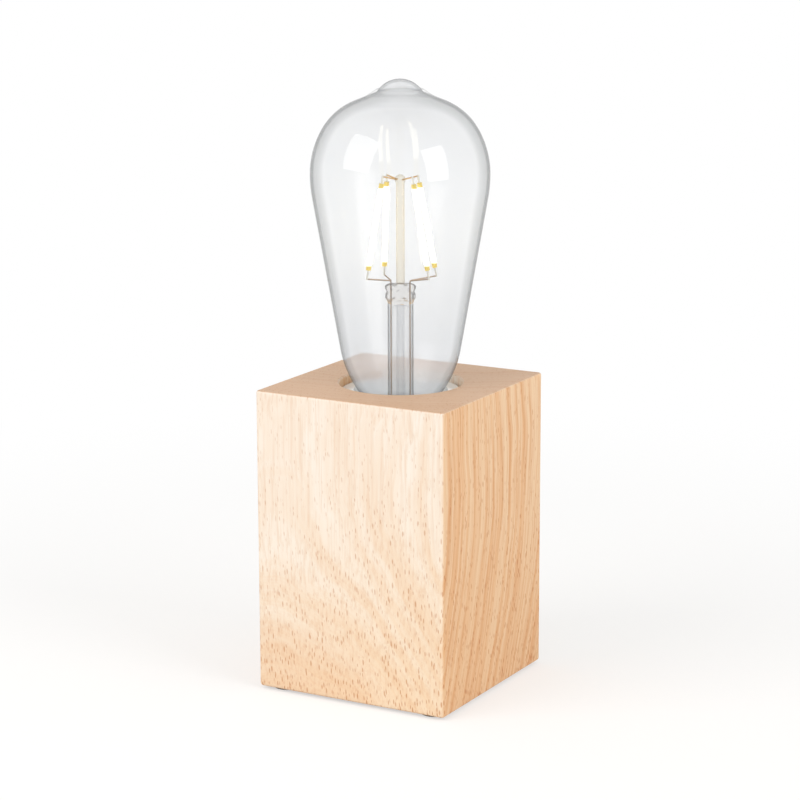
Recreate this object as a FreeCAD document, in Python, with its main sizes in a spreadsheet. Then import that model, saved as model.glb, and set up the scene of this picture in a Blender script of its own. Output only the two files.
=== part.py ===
import FreeCAD, Part
import itertools
import math
import operator
import os
import types

import Sketcher

# Bare bulb table lamp: a square wood block with a sunk porcelain lampholder and a clear
# filament bulb. Millimetres. The origin is on the floor under the middle of the block and +Z
# is up. The front of the block faces -Y, and the cord hole is at the back, +Y.

SIZES = [
    # felt pads under the block
    ("pad_thickness", 1.0, "felt"),
    ("pad_diameter", 10.0, "felt"),
    ("pad_inset", 7.5, "pad centre to the two nearest sides of the block"),
    # wood block
    ("block_side", 76.0, "both sides of the square"),
    ("block_height", 110.0, "wood only, without the pads"),
    ("corner_round", 1.3, "upright edges"),
    ("top_round", 0.8, "edges of the top face"),
    ("foot_round", 1.1, "edges of the underside"),
    ("bore_diameter", 44.5, "hole in the top, for the lampholder"),
    ("bore_depth", 53.0, "down to the ledge that the lampholder stands on"),
    ("bore_edge", 0.5, "chamfer round the hole"),
    ("recess_diameter", 54.0, "wiring space in the underside"),
    ("recess_depth", 34.0, "from the underside"),
    ("cord_height", 14.0, "cord hole's centre above the underside"),
    ("cord_hole_diameter", 8.0, "through the back wall"),
    # cord bush in the back wall
    ("bush_wall", 0.9, "sleeve"),
    ("bush_gap", 0.1, "round the sleeve and the flange"),
    ("bush_flange_diameter", 12.0, "flange sunk in the back face"),
    ("bush_flange_thickness", 1.5, "flange sunk in the back face"),
    # bottom cover and its screws
    ("cover_diameter", 67.0, "disc"),
    ("cover_thickness", 2.5, "disc"),
    ("cover_gap", 0.3, "round the disc"),
    ("cover_sink", 0.2, "disc above the block's underside"),
    ("cover_screw_circle", 60.4, "diameter through the three screws"),
    ("wood_screw_diameter", 2.9, "shank"),
    ("wood_screw_head", 5.6, "countersunk head"),
    ("wood_screw_length", 13.0, "head and shank"),
    ("screw_gap", 0.1, "round each screw in its hole"),
    ("hole_end", 1.0, "blind screw hole past its screw's point"),
    ("cut_past", 1.0, "a cut that goes right through, past the far face"),
    # threaded tube that clamps the lampholder to the block
    ("tube_diameter", 10.0, "M10 x 1"),
    ("tube_bore", 8.0, "wire way"),
    ("tube_gap", 0.05, "nuts, washer and bracket on the tube"),
    ("passage_gap", 0.25, "wood round the tube"),
    ("tube_end", 1.5, "tube past its lower nut"),
    ("tube_top_end", 0.4, "tube past its upper nut"),
    ("nut_flats", 14.0, "both nuts"),
    ("nut_height", 3.0, "both nuts"),
    ("washer_diameter", 17.0, "under the wood ledge"),
    ("washer_thickness", 1.5, "under the wood ledge"),
    # porcelain lampholder
    ("holder_gap", 0.5, "round the lampholder in its bore"),
    ("face_depth", 2.9, "lampholder's face below the block's top"),
    ("face_round", 0.7, "outer edge of the face"),
    ("mouth_radius", 17.0, "funnel at the face"),
    ("mouth_depth", 7.1, "funnel"),
    ("cavity_gap", 0.8, "porcelain round the screw shell"),
    ("contact_room", 4.0, "cavity floor below the cap contact"),
    ("web_thickness", 3.5, "porcelain between the two cavities"),
    ("wiring_radius", 14.5, "lower cavity"),
    # bracket under the lampholder
    ("bracket_length", 41.0, "strip with round ends"),
    ("bracket_width", 13.0, "strip with round ends"),
    ("bracket_thickness", 1.6, "strip with round ends"),
    ("bracket_gap", 0.2, "porcelain round the strip"),
    ("bracket_screw_reach", 17.0, "screw from the axis"),
    ("small_screw_diameter", 3.0, "bracket and terminal screws"),
    ("small_screw_head", 5.2, "bracket and terminal screws"),
    ("bracket_screw_length", 8.0, "head and shank"),
    # screw thread of the cap and of the lampholder
    ("thread_pitch", 3.629, "lamp thread"),
    ("cap_root_radius", 12.0, "cap thread"),
    ("cap_crest_radius", 13.1, "cap thread"),
    ("thread_gap", 0.3, "radial, between the cap and the screw shell"),
    ("sheet_metal", 0.4, "wall of the screw shell"),
    ("ridge_shoulder", 0.4, "straight part of a ridge's flank, radially"),
    ("ridge_bury", 0.2, "root of a ridge inside its wall"),
    ("ridge_root_half", 1.15, "half the width of a ridge at its root"),
    ("ridge_shoulder_half", 0.85, "half its width where it turns round"),
    ("cap_thread_height", 9.5, "first cap ridge above the contact"),
    ("cap_thread_turns", 3.0, "ridge on the cap"),
    ("shell_thread_turns", 1.5, "ridge in the screw shell"),
    ("shell_height", 22.0, "screw shell"),
    # contacts and terminals of the lampholder
    ("shell_foot_inner", 8.0, "inner radius of the shell's foot"),
    ("terminal_reach", 10.0, "terminals and their rivets from the axis"),
    ("rivet_radius", 1.0, "shank"),
    ("rivet_head_radius", 1.8, "head"),
    ("rivet_head_height", 0.7, "head"),
    ("rivet_gap", 0.05, "round a rivet"),
    ("rivet_rise", 0.3, "lower end of a terminal's rivet above the wire hole"),
    ("shell_foot_angle", 200.0, "part of a full turn"),
    ("side_rivet_angle", 75.0, "shell rivets from the neutral rivet"),
    ("channel_width", 7.4, "groove for the contact strip"),
    ("channel_depth", 2.0, "groove for the contact strip"),
    ("strip_thickness", 0.5, "contact strip"),
    ("strip_gap", 0.3, "strip in its groove"),
    ("strip_end", 2.4, "strip past the live rivet"),
    ("plunger_radius", 1.5, "stem of the sprung contact"),
    ("plunger_gap", 0.15, "stem in the porcelain and the strip"),
    ("plunger_head_radius", 3.3, "head of the sprung contact"),
    ("plunger_head_height", 1.2, "head of the sprung contact"),
    ("plunger_edge", 0.4, "chamfer of the head"),
    ("plunger_tail", 0.7, "stem below its clip"),
    ("contact_gap", 0.1, "plunger's head below the cap contact"),
    ("clip_thickness", 0.5, "retaining clip"),
    ("clip_radius", 2.8, "retaining clip"),
    ("clip_angle", 290.0, "part of a full turn"),
    ("clip_groove_depth", 0.4, "groove in the stem"),
    ("clip_play", 0.05, "clip below the web, and in its groove"),
    ("spring_wire", 0.25, "wire radius of the contact spring"),
    ("spring_radius", 2.3, "coil's mean radius"),
    ("spring_turns", 4.0, "contact spring"),
    ("spring_play", 0.05, "spring to the strip and to the head"),
    ("terminal_length", 6.0, "terminal along X"),
    ("terminal_width", 7.0, "terminal along Y"),
    ("terminal_height", 6.0, "terminal"),
    ("terminal_head", 1.8, "height of the terminal screw's head"),
    ("wire_hole_height", 2.1, "wire hole above the terminal's foot"),
    ("wire_hole_radius", 1.25, "wire hole"),
    ("wire_hole_depth", 5.0, "wire hole"),
    # leads between the lampholder and the connector in the base
    ("lead_radius", 1.1, "insulation"),
    ("core_radius", 0.6, "copper"),
    ("core_gap", 0.02, "insulation round the core"),
    ("lead_offset", 1.8, "leads from the axis inside the tube"),
    ("lead_bend", 2.6, "bend above the tube"),
    ("lead_low_bend", 4.0, "bends in the base"),
    ("lead_stop", 0.5, "insulation's end before a terminal"),
    ("strip_length", 5.2, "bare core at each end"),
    ("live_drop", 18.0, "live lead's low run below the recess's ceiling"),
    ("neutral_drop", 22.5, "neutral lead's low run below the ceiling"),
    ("live_loop", 9.0, "live lead's turn in front of the connector"),
    ("neutral_loop", 7.0, "neutral lead's turn in front of the connector"),
    # connector in the base
    ("connector_length", 15.0, "along X"),
    ("connector_width", 16.0, "along Y"),
    ("connector_height", 12.0, "below the recess's ceiling"),
    ("connector_reach", 16.5, "connector's centre from the axis"),
    ("connector_round", 1.0, "upright edges"),
    ("pole_spacing", 7.5, "between the two barrels"),
    ("barrel_radius", 1.85, "brass barrel"),
    ("barrel_bore", 1.2, "radius of its wire way"),
    ("barrel_length", 13.0, "brass barrel"),
    ("barrel_gap", 0.05, "plastic round a barrel"),
    ("clamp_screw_radius", 1.1, "connector's clamp screws"),
    ("clamp_screw_reach", 3.6, "clamp screws from the middle of a barrel"),
    ("clamp_screw_sink", 1.0, "clamp screws inside the connector's foot"),
    ("connector_screw_length", 20.0, "head and shank"),
    # cap of the bulb
    ("cap_rim_depth", 7.0, "cap's rim below the block's top"),
    ("cap_length", 27.0, "contact to rim"),
    ("cap_wall", 0.45, "sheet"),
    ("skirt_height", 4.6, "plain part of the cap at its rim"),
    ("button_radius", 4.6, "cap contact"),
    ("button_thickness", 1.2, "cap contact"),
    ("button_edge", 0.4, "chamfer of the cap contact"),
    ("eyelet_radius", 2.3, "cap contact's eyelet in the insulator"),
    ("eyelet_height", 3.2, "cap contact's eyelet in the insulator"),
    ("insulator_radius", 8.6, "glass insulator at the cap's foot"),
    ("insulator_height", 6.6, "its top above the contact"),
    ("cap_foot_height", 4.5, "cap's turned-in foot above the contact"),
    ("cap_cone_height", 7.8, "where the cap's foot meets its thread"),
    ("glass_fit", 0.05, "glass to cement, insulator to eyelet and cap"),
    # glass envelope, heights above the cap contact
    ("glass_wall", 0.8, "envelope"),
    ("neck_radius", 11.3, "inside the cap"),
    ("neck_foot", 17.0, "lower end of the neck"),
    ("neck_blend", 4.0, "hollow curve above the neck"),
    ("foot_arc", 37.0, "curve between the neck and the taper"),
    ("foot_height", 45.8, "where the taper starts"),
    ("foot_radius", 21.594, "where the taper starts"),
    ("taper_angle", 10.0, "straight side, from the axis"),
    ("waist_arc", 49.0, "curve between the taper and the widest place"),
    ("bulb_radius", 32.0, "widest place"),
    ("shoulder_angle", 30.0, "end of the curve about the axis"),
    ("shoulder_arc", 23.0, "curve over the shoulder"),
    ("crown_angle", 68.0, "end of the shoulder curve"),
    ("tip_radius", 9.5, "moulded tip"),
    ("tip_blend", 2.0, "hollow curve round the tip"),
    ("tip_rise", 1.3, "tip's top above the point that the crown's cone would reach"),
    # glass inside the bulb, heights above the cap contact
    ("inside_turn", 29.2, "stem and filaments turned about the axis"),
    ("stem_radius", 4.65, "flare tube"),
    ("stem_wall", 0.9, "flare tube"),
    ("flare_height", 13.0, "trumpet at its foot"),
    ("press_height", 61.8, "top of the tube's hollow"),
    ("press_plug", 3.2, "solid glass above the hollow"),
    ("press_shoulder", 2.6, "rounding of its shoulder"),
    ("press_rise", 0.8, "flattened part's foot above the hollow"),
    ("press_length", 8.0, "flattened part's top above the hollow"),
    ("press_half_width", 5.5, "flattened part"),
    ("press_half_depth", 2.7, "flattened part"),
    ("press_round", 1.3, "edge of its top"),
    ("exhaust_radius", 1.65, "exhaust tube"),
    ("exhaust_wall", 0.5, "exhaust tube"),
    ("exhaust_foot", 15.5, "sealed end of the exhaust tube"),
    ("post_radius", 1.5, "centre post"),
    ("post_length", 37.3, "press to the centre of the bead"),
    ("bead_radius", 1.9, "bead at the top of the post"),
    # wires and filaments, seen from the front of the stem
    ("support_wire", 0.25, "radius of the support wires"),
    ("lead_in_reach", 3.4, "lead-in wires from the axis"),
    ("wire_fit", 0.05, "glass round a wire, and a wire to what it is welded to"),
    ("elbow_rise", 1.0, "elbow of a lead-in wire above the press"),
    ("elbow_bend", 0.7, "its radius"),
    ("hanger_reach", 1.1, "upper wires start this far from the axis"),
    ("hanger_rise", 0.1, "there, above the bead's centre"),
    ("filament_foot_rise", 1.7, "lower end of the tabs above the press"),
    ("filament_head_rise", 1.7, "upper end of the tabs above the bead's centre"),
    ("filament_radius", 0.9, "coated rod"),
    ("tab_radius", 0.35, "metal ends of a filament"),
    ("lower_tab", 3.6, "bare tab below the coating"),
    ("upper_tab", 2.9, "bare tab above the coating"),
    ("filament_1_foot_reach", 12.3, "from the axis"),
    ("filament_1_foot_angle", 192.5, "from the right, seen from above"),
    ("filament_1_head_reach", 6.3, "from the axis"),
    ("filament_1_head_angle", 194.0, "from the right, seen from above"),
    ("filament_2_foot_reach", 8.7, "from the axis"),
    ("filament_2_foot_angle", 132.0, "from the right, seen from above"),
    ("filament_2_head_reach", 5.5, "from the axis"),
    ("filament_2_head_angle", 150.0, "from the right, seen from above"),
    ("filament_3_foot_reach", 10.6, "from the axis"),
    ("filament_3_foot_angle", -16.5, "from the right, seen from above"),
    ("filament_3_head_reach", 5.6, "from the axis"),
    ("filament_3_head_angle", -40.0, "from the right, seen from above"),
    ("filament_4_foot_reach", 13.5, "from the axis"),
    ("filament_4_foot_angle", 16.5, "from the right, seen from above"),
    ("filament_4_head_reach", 6.3, "from the axis"),
    ("filament_4_head_angle", -2.0, "from the right, seen from above"),
    # driver in the cap, heights above the cap contact
    ("board_radius", 9.5, "round board"),
    ("board_thickness", 1.0, "round board"),
    ("board_height", 9.0, "its underside"),
    ("board_gap", 0.05, "parts on the board, and wires in it"),
    ("capacitor_radius", 2.2, "lies along Y"),
    ("capacitor_length", 8.0, "lies along Y"),
    ("capacitor_reach", 6.2, "from the axis"),
    ("resistor_radius", 1.2, "lies along Y"),
    ("resistor_length", 6.5, "lies along Y"),
    ("resistor_reach", 6.2, "from the axis"),
    ("rectifier_side", 4.0, "square chip"),
    ("rectifier_height", 1.5, "square chip"),
    ("rectifier_reach", 6.0, "from the axis, towards the front"),
    ("feed_wire", 0.3, "radius of the wires to the cap"),
    ("feed_end", 0.2, "live wire's end above the cap contact's face"),
    ("neutral_feed_reach", 8.6, "neutral wire from the axis"),
    ("neutral_feed_rise", 3.0, "neutral wire's turn to the cap, above the board"),
    ("feed_wire_bend", 1.0, "its radius"),
]

doc = FreeCAD.newDocument("BareBulbTableLamp")
sheet = doc.addObject("Spreadsheet::Sheet", "Sizes")


class Size:
    """A length or a ratio: its number, and the sheet expression that gives that number."""

    def __init__(self, value, text):
        self.value = float(value)
        self.text = text

    def __add__(self, other):
        return joined(operator.add, "+", self, other)

    def __radd__(self, other):
        return joined(operator.add, "+", other, self)

    def __sub__(self, other):
        return joined(operator.sub, "-", self, other)

    def __rsub__(self, other):
        return joined(operator.sub, "-", other, self)

    def __mul__(self, other):
        return joined(operator.mul, "*", self, other)

    def __rmul__(self, other):
        return joined(operator.mul, "*", other, self)

    def __truediv__(self, other):
        return joined(operator.truediv, "/", self, other)

    def __neg__(self):
        return joined(operator.sub, "-", 0, self)


def as_size(number):
    """A plain number as a Size."""
    if isinstance(number, Size):
        return number
    return Size(number, "%.6f" % number)


def joined(operation, sign, first, second):
    """Two sizes joined by an operation, as a number and as an expression."""
    first = as_size(first)
    second = as_size(second)
    number = operation(first.value, second.value)
    return Size(number, "(%s %s %s)" % (first.text, sign, second.text))


def cosine(angle):
    """Cosine of a size in degrees."""
    return Size(math.cos(math.radians(angle.value)), "cos(%s * 1 deg)" % angle.text)


def sine(angle):
    """Sine of a size in degrees."""
    return Size(math.sin(math.radians(angle.value)), "sin(%s * 1 deg)" % angle.text)


def root(square):
    """Square root of a size."""
    return Size(math.sqrt(square.value), "sqrt(%s)" % square.text)


S = types.SimpleNamespace()
for row, (alias, number, note) in enumerate(SIZES, start=1):
    sheet.set("A%d" % row, alias)
    sheet.set("B%d" % row, str(number))
    sheet.set("C%d" % row, note)
    sheet.setAlias("B%d" % row, alias)
    setattr(S, alias, Size(number, "Sizes." + alias))
doc.recompute()

UP = FreeCAD.Vector(0, 0, 1)
FULL_TURN = 360.0
EDGE_TOLERANCE = 1e-4
nodes = []


# ---- sketches and features ----


def vector(x, y, z):
    """A point from three sizes or numbers."""
    return FreeCAD.Vector(as_size(x).value, as_size(y).value, as_size(z).value)


def bind(thing, path, size):
    """Ties one property of an object to the sheet."""
    thing.setExpression(path, as_size(size).text)


def new_body(label, z=0.0, x=0.0, y=0.0, turn=None):
    """An empty body for one sub-part, placed at x, y, z and turned about Z."""
    body = doc.addObject("PartDesign::Body", label)
    body.Label = label
    if turn is not None:
        body.Placement = FreeCAD.Placement(vector(0, 0, 0), FreeCAD.Rotation(UP, turn.value))
        bind(body, "Placement.Rotation.Angle", turn)
    bind(body, "Placement.Base.x", x)
    bind(body, "Placement.Base.y", y)
    bind(body, "Placement.Base.z", z)
    nodes.append(body)
    return body


def origin_feature(body, role):
    """One of the body's own planes or axes."""
    return next(item for item in body.Origin.OriginFeatures if item.Role == role)


def new_sketch(body, name, plane, offset):
    """An empty sketch on one of the body's planes, moved by offset within that plane's axes."""
    sketch = body.newObject("Sketcher::SketchObject", name)
    sketch.AttachmentSupport = [(origin_feature(body, plane), "")]
    sketch.MapMode = "FlatFace"
    for axis, distance in zip("xyz", offset):
        bind(sketch, "AttachmentOffset.Base." + axis, distance)
    return sketch


def arc_between(start, end, radius):
    """The short arc from start to end: it turns left if radius is positive, right if not."""
    chord = end - start
    half = chord.Length / 2
    rise = math.sqrt(max(radius * radius - half * half, 0.0))
    left = FreeCAD.Vector(-chord.y, chord.x, 0).normalize()
    centre = start + chord / 2 + left * math.copysign(rise, radius)
    first, last = (start, end) if radius > 0 else (end, start)
    angles = [math.atan2(point.y - centre.y, point.x - centre.x) for point in (first, last)]
    circle = Part.Circle(centre, UP, abs(radius))
    return Part.ArcOfCircle(circle, angles[0], angles[1])


def outline(body, name, points, plane="XZ_Plane", offset=(0, 0, 0)):
    """A closed sketch through points. Each is (x, y), or (x, y, radius) where an arc starts."""
    sketch = new_sketch(body, name, plane, offset)
    places = [vector(point[0], point[1], 0) for point in points]
    radii = [point[2] if len(point) > 2 else None for point in points]
    for index, radius in enumerate(radii):
        start = places[index]
        end = places[(index + 1) % len(places)]
        if radius is None:
            sketch.addGeometry(Part.LineSegment(start, end), False)
        else:
            sketch.addGeometry(arc_between(start, end, as_size(radius).value), False)
    # a right-hand arc is stored the other way round, so its start is its second vertex
    starts = [2 if radius is not None and as_size(radius).value < 0 else 1 for radius in radii]
    for index in range(len(points)):
        after = (index + 1) % len(points)
        end = 3 - starts[index]
        sketch.addConstraint(Sketcher.Constraint("Coincident", index, end, after, starts[after]))
    for index, point in enumerate(points):
        for kind, coordinate in zip(("DistanceX", "DistanceY"), point):
            number = as_size(coordinate).value
            rule = Sketcher.Constraint(kind, -1, 1, index, starts[index], number)
            place = sketch.addConstraint(rule)
            bind(sketch, "Constraints[%d]" % place, coordinate)
        if radii[index] is not None:
            number = abs(as_size(radii[index]).value)
            place = sketch.addConstraint(Sketcher.Constraint("Radius", index, number))
            size = as_size(radii[index])
            bind(sketch, "Constraints[%d]" % place, size if size.value > 0 else -size)
    return sketch


def circles(body, name, places, radius, plane="XY_Plane", offset=(0, 0, 0)):
    """A sketch of equal circles, each at (x, y)."""
    sketch = new_sketch(body, name, plane, offset)
    for index, (x, y) in enumerate(places):
        sketch.addGeometry(Part.Circle(vector(x, y, 0), UP, as_size(radius).value), False)
        for kind, coordinate in (("DistanceX", x), ("DistanceY", y)):
            number = as_size(coordinate).value
            place = sketch.addConstraint(Sketcher.Constraint(kind, -1, 1, index, 3, number))
            bind(sketch, "Constraints[%d]" % place, coordinate)
        rule = Sketcher.Constraint("Radius", index, as_size(radius).value)
        bind(sketch, "Constraints[%d]" % sketch.addConstraint(rule), radius)
    return sketch


def rectangle(half_x, half_y, centre_x=0.0):
    """The corners of a rectangle centred at (centre_x, 0)."""
    right = centre_x + half_x
    left = centre_x - half_x
    return [(left, -half_y), (right, -half_y), (right, half_y), (left, half_y)]


def stadium(low, high, half_width):
    """A strip along X from low to high with round ends, as an outline."""
    low_centre = low + half_width
    high_centre = high - half_width
    return [
        (low_centre, -half_width),
        (high_centre, -half_width, half_width),
        (high, 0, half_width),
        (high_centre, half_width),
        (low_centre, half_width, half_width),
        (low, 0, half_width),
    ]


def quarter_turned(points):
    """An outline turned a quarter turn to the left."""
    return [(-point[1], point[0], *point[2:]) for point in points]


def hexagon(flats):
    """A hexagon with two flats square to X."""
    half = flats / 2
    corner = half * math.tan(math.radians(30))
    point = half / math.cos(math.radians(30))
    return [
        (half, -corner),
        (half, corner),
        (0, point),
        (-half, corner),
        (-half, -corner),
        (0, -point),
    ]


def turned(body, name, points, about="V_Axis", plane="XZ_Plane", offset=(0, 0, 0), cut=False):
    """A solid of revolution from an outline, added to the body or cut out of it."""
    sketch = outline(body, name + "_outline", points, plane, offset)
    kind = "PartDesign::Groove" if cut else "PartDesign::Revolution"
    feature = body.newObject(kind, name)
    feature.Profile = sketch
    feature.ReferenceAxis = (sketch, [about])
    feature.Angle = FULL_TURN
    return feature


def extruded(body, name, sketch, length):
    """A pad of the sketch, along the sketch's normal."""
    pad = body.newObject("PartDesign::Pad", name)
    pad.Profile = sketch
    bind(pad, "Length", length)
    return pad


def pocketed(body, name, sketch, length, upwards=False):
    """A pocket against the sketch's normal, or along it."""
    pocket = body.newObject("PartDesign::Pocket", name)
    pocket.Profile = sketch
    pocket.Reversed = upwards
    bind(pocket, "Length", length)
    return pocket


def repeated(body, name, feature, count):
    """Copies of a feature, evenly spaced about the body's Z axis."""
    pattern = body.newObject("PartDesign::PolarPattern", name)
    pattern.Originals = [feature]
    pattern.Axis = (origin_feature(body, "Z_Axis"), [""])
    pattern.Angle = FULL_TURN
    pattern.Occurrences = count
    body.Tip = pattern
    return pattern


def rounded(body, name, base, radius, wanted):
    """A fillet on each edge of the base feature that wanted(edge) picks."""
    doc.recompute()
    edges = enumerate(base.Shape.Edges, start=1)
    names = ["Edge%d" % number for number, edge in edges if wanted(edge)]
    fillet = body.newObject("PartDesign::Fillet", name)
    fillet.Base = (base, names)
    bind(fillet, "Radius", radius)
    return fillet


def upright(edge):
    """Whether an edge runs along Z."""
    return edge.BoundBox.XLength + edge.BoundBox.YLength < EDGE_TOLERANCE


def at_height(height):
    """A test for the edges that lie flat at one height."""

    def lies_there(edge):
        box = edge.BoundBox
        return max(abs(box.ZMin - height), abs(box.ZMax - height)) < EDGE_TOLERANCE

    return lies_there


def ridge(body, name, inside, crest, first, turns):
    """A thread ridge along a helix, from a root buried in a wall out to its crest."""
    outwards = 1 if crest.value > inside.value else -1
    shoulder = inside + (S.ridge_bury + S.ridge_shoulder) * outwards
    rise = (crest - shoulder) * outwards
    half = S.ridge_shoulder_half
    radius = (half * half + rise * rise) / (rise * 2)
    points = [
        (inside, first - S.ridge_root_half),
        (shoulder, first - half, radius * outwards),
        (shoulder, first + half),
        (inside, first + S.ridge_root_half),
    ]
    sketch = outline(body, name + "_outline", points)
    thread = body.newObject("PartDesign::AdditiveHelix", name)
    thread.Profile = sketch
    thread.ReferenceAxis = (sketch, ["V_Axis"])
    thread.Mode = "pitch-height-angle"
    bind(thread, "Pitch", S.thread_pitch)
    bind(thread, "Height", S.thread_pitch * turns)
    return thread


def shaped(label, shape, z=0.0, turn=0.0):
    """One sub-part from a finished shape, placed at height z and turned about Z."""
    piece = doc.addObject("Part::Feature", label)
    piece.Label = label
    piece.Shape = shape
    piece.Placement = FreeCAD.Placement(vector(0, 0, z), FreeCAD.Rotation(UP, as_size(turn).value))
    nodes.append(piece)
    return piece


def rod(start, end, radius):
    """A round bar from one point to another."""
    along = end - start
    return Part.makeCylinder(as_size(radius).value, along.Length, start, along)


def bent_path(points, bends):
    """Straight runs joined by tangent arcs, one bend radius for each inner point."""
    edges = []
    last = points[0]
    for before, corner, after, bend in zip(points, points[1:], points[2:], bends):
        incoming = (corner - before).normalize()
        outgoing = (after - corner).normalize()
        turn = incoming.getAngle(outgoing)
        setback = bend * math.tan(turn / 2)
        start = corner - incoming * setback
        end = corner + outgoing * setback
        bisector = (outgoing - incoming).normalize()
        middle = corner + bisector * (bend / math.cos(turn / 2) - bend)
        edges.append(Part.makeLine(last, start))
        edges.append(Part.Arc(start, middle, end).toShape())
        last = end
    edges.append(Part.makeLine(last, points[-1]))
    return Part.Wire(edges)


def piped(path, radius):
    """A round bar along a path."""
    first = path.Edges[0]
    start = first.valueAt(first.FirstParameter)
    along = first.tangentAt(first.FirstParameter)
    circle = Part.Wire([Part.Circle(start, along, as_size(radius).value).toShape()])
    return path.makePipeShell([circle], True, False)


# ---- heights that several sub-parts share ----

block_foot = S.pad_thickness
block_top = block_foot + S.block_height
ledge = block_top - S.bore_depth
recess_top = block_foot + S.recess_depth
cover_foot = block_foot + S.cover_sink
holder_radius = S.bore_diameter / 2 - S.holder_gap
holder_height = S.bore_depth - S.face_depth
bulb_seat = block_top - S.cap_rim_depth - S.cap_length
web_top = bulb_seat - S.contact_room
web_foot = web_top - S.web_thickness
channel_floor = web_top - S.channel_depth
bracket_top = ledge + S.bracket_thickness
tube_foot = recess_top - S.washer_thickness - S.nut_height - S.tube_end
tube_top = bracket_top + S.nut_height + S.tube_top_end
wire_level = web_foot - S.terminal_height + S.wire_hole_height
shell_inner = S.cap_crest_radius + S.thread_gap
shell_outer = shell_inner + S.sheet_metal
wood_hole_radius = S.wood_screw_diameter / 2 + S.screw_gap
small_hole_radius = S.small_screw_diameter / 2 + S.screw_gap
connector_level = recess_top - S.connector_height / 2


# ---- felt pads ----

pads = new_body("felt_pads")
pad_place = S.block_side / 2 - S.pad_inset
pad_sketch = circles(pads, "pad_outline", [(pad_place, pad_place)], S.pad_diameter / 2)
pad = extruded(pads, "pad", pad_sketch, S.pad_thickness)
repeated(pads, "four_pads", pad, 4)


# ---- wood block, with everything that is bored into it ----

block = new_body("wood_block", z=block_foot)
half_side = S.block_side / 2
blank_sketch = outline(block, "blank_outline", rectangle(half_side, half_side), "XY_Plane")
blank = extruded(block, "blank", blank_sketch, S.block_height)
corners = rounded(block, "corner_rounding", blank, S.corner_round, upright)
top_edges = at_height(S.block_height.value)
top_rounding = rounded(block, "top_rounding", corners, S.top_round, top_edges)
foot_edges = at_height(0)
rounded(block, "foot_rounding", top_rounding, S.foot_round, foot_edges)
bore_radius = S.bore_diameter / 2
passage_radius = S.tube_diameter / 2 + S.passage_gap
rebate_radius = S.cover_diameter / 2 + S.cover_gap
rebate_depth = S.cover_thickness + S.cover_sink
bore_floor = S.block_height - S.bore_depth
turned(
    block,
    "centre_bores",
    [
        (0, 0),
        (rebate_radius, 0),
        (rebate_radius, rebate_depth),
        (S.recess_diameter / 2, rebate_depth),
        (S.recess_diameter / 2, S.recess_depth),
        (passage_radius, S.recess_depth),
        (passage_radius, bore_floor),
        (bore_radius, bore_floor),
        (bore_radius, S.block_height - S.bore_edge),
        (bore_radius + S.bore_edge, S.block_height),
        (0, S.block_height),
    ],
    cut=True,
)
cord_hole_radius = S.cord_hole_diameter / 2
flange_hole_radius = S.bush_flange_diameter / 2 + S.bush_gap
flange_start = half_side - S.bush_flange_thickness
turned(
    block,
    "cord_hole",
    [
        (0, 0),
        (half_side, 0),
        (half_side, flange_hole_radius),
        (flange_start, flange_hole_radius),
        (flange_start, cord_hole_radius),
        (0, cord_hole_radius),
    ],
    about="H_Axis",
    plane="YZ_Plane",
    offset=(0, S.cord_height, 0),
    cut=True,
)
cover_screw_reach = S.cover_screw_circle / 2
pilot_top = S.cover_sink + S.wood_screw_length + S.hole_end
pilot_outline = [
    (0, rebate_depth),
    (wood_hole_radius, rebate_depth),
    (wood_hole_radius, pilot_top),
    (0, pilot_top),
]
pilot = turned(block, "cover_pilot", pilot_outline, offset=(cover_screw_reach, 0, 0), cut=True)
repeated(block, "cover_pilots", pilot, 3)
connector_screw_foot = S.recess_depth - S.connector_height
connector_pilot_top = connector_screw_foot + S.connector_screw_length + S.hole_end
turned(
    block,
    "connector_pilot",
    [
        (0, S.recess_depth),
        (wood_hole_radius, S.recess_depth),
        (wood_hole_radius, connector_pilot_top),
        (0, connector_pilot_top),
    ],
    offset=(-S.connector_reach, 0, 0),
    cut=True,
)


# ---- cord bush in the back wall: all of the cord that this lamp shows ----

bush = new_body("cord_bush", z=block_foot + S.cord_height)
sleeve_radius = cord_hole_radius - S.bush_gap
bush_bore = sleeve_radius - S.bush_wall
recess_wall = S.recess_diameter / 2
turned(
    bush,
    "bush",
    [
        (recess_wall, bush_bore),
        (half_side, bush_bore),
        (half_side, S.bush_flange_diameter / 2),
        (flange_start, S.bush_flange_diameter / 2),
        (flange_start, sleeve_radius),
        (recess_wall, sleeve_radius),
    ],
    about="H_Axis",
    plane="YZ_Plane",
)


# ---- bottom cover and its three countersunk screws ----

head_radius = S.wood_screw_head / 2
shank_radius = S.wood_screw_diameter / 2
head_height = head_radius - shank_radius


def countersink(shank, head, depth):
    """A hole for a countersunk screw from z = 0 upwards, as an outline."""
    return [
        (0, 0),
        (head + S.screw_gap, 0),
        (shank + S.screw_gap, head - shank),
        (shank + S.screw_gap, depth),
        (0, depth),
    ]


def countersunk_screw(shank, head, length):
    """A countersunk screw with its head at z = 0 and its pointed shank upwards."""
    return [
        (0, 0),
        (head, 0),
        (shank, head - shank),
        (shank, length - shank),
        (0, length),
    ]


cover = new_body("cover_plate", z=cover_foot)
cover_radius = S.cover_diameter / 2
disc_outline = [
    (0, 0),
    (cover_radius, 0),
    (cover_radius, S.cover_thickness),
    (0, S.cover_thickness),
]
turned(cover, "disc", disc_outline)
cover_hole_outline = countersink(shank_radius, head_radius, S.cover_thickness)
cover_hole = turned(
    cover, "screw_hole", cover_hole_outline, offset=(cover_screw_reach, 0, 0), cut=True
)
repeated(cover, "screw_holes", cover_hole, 3)

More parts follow.
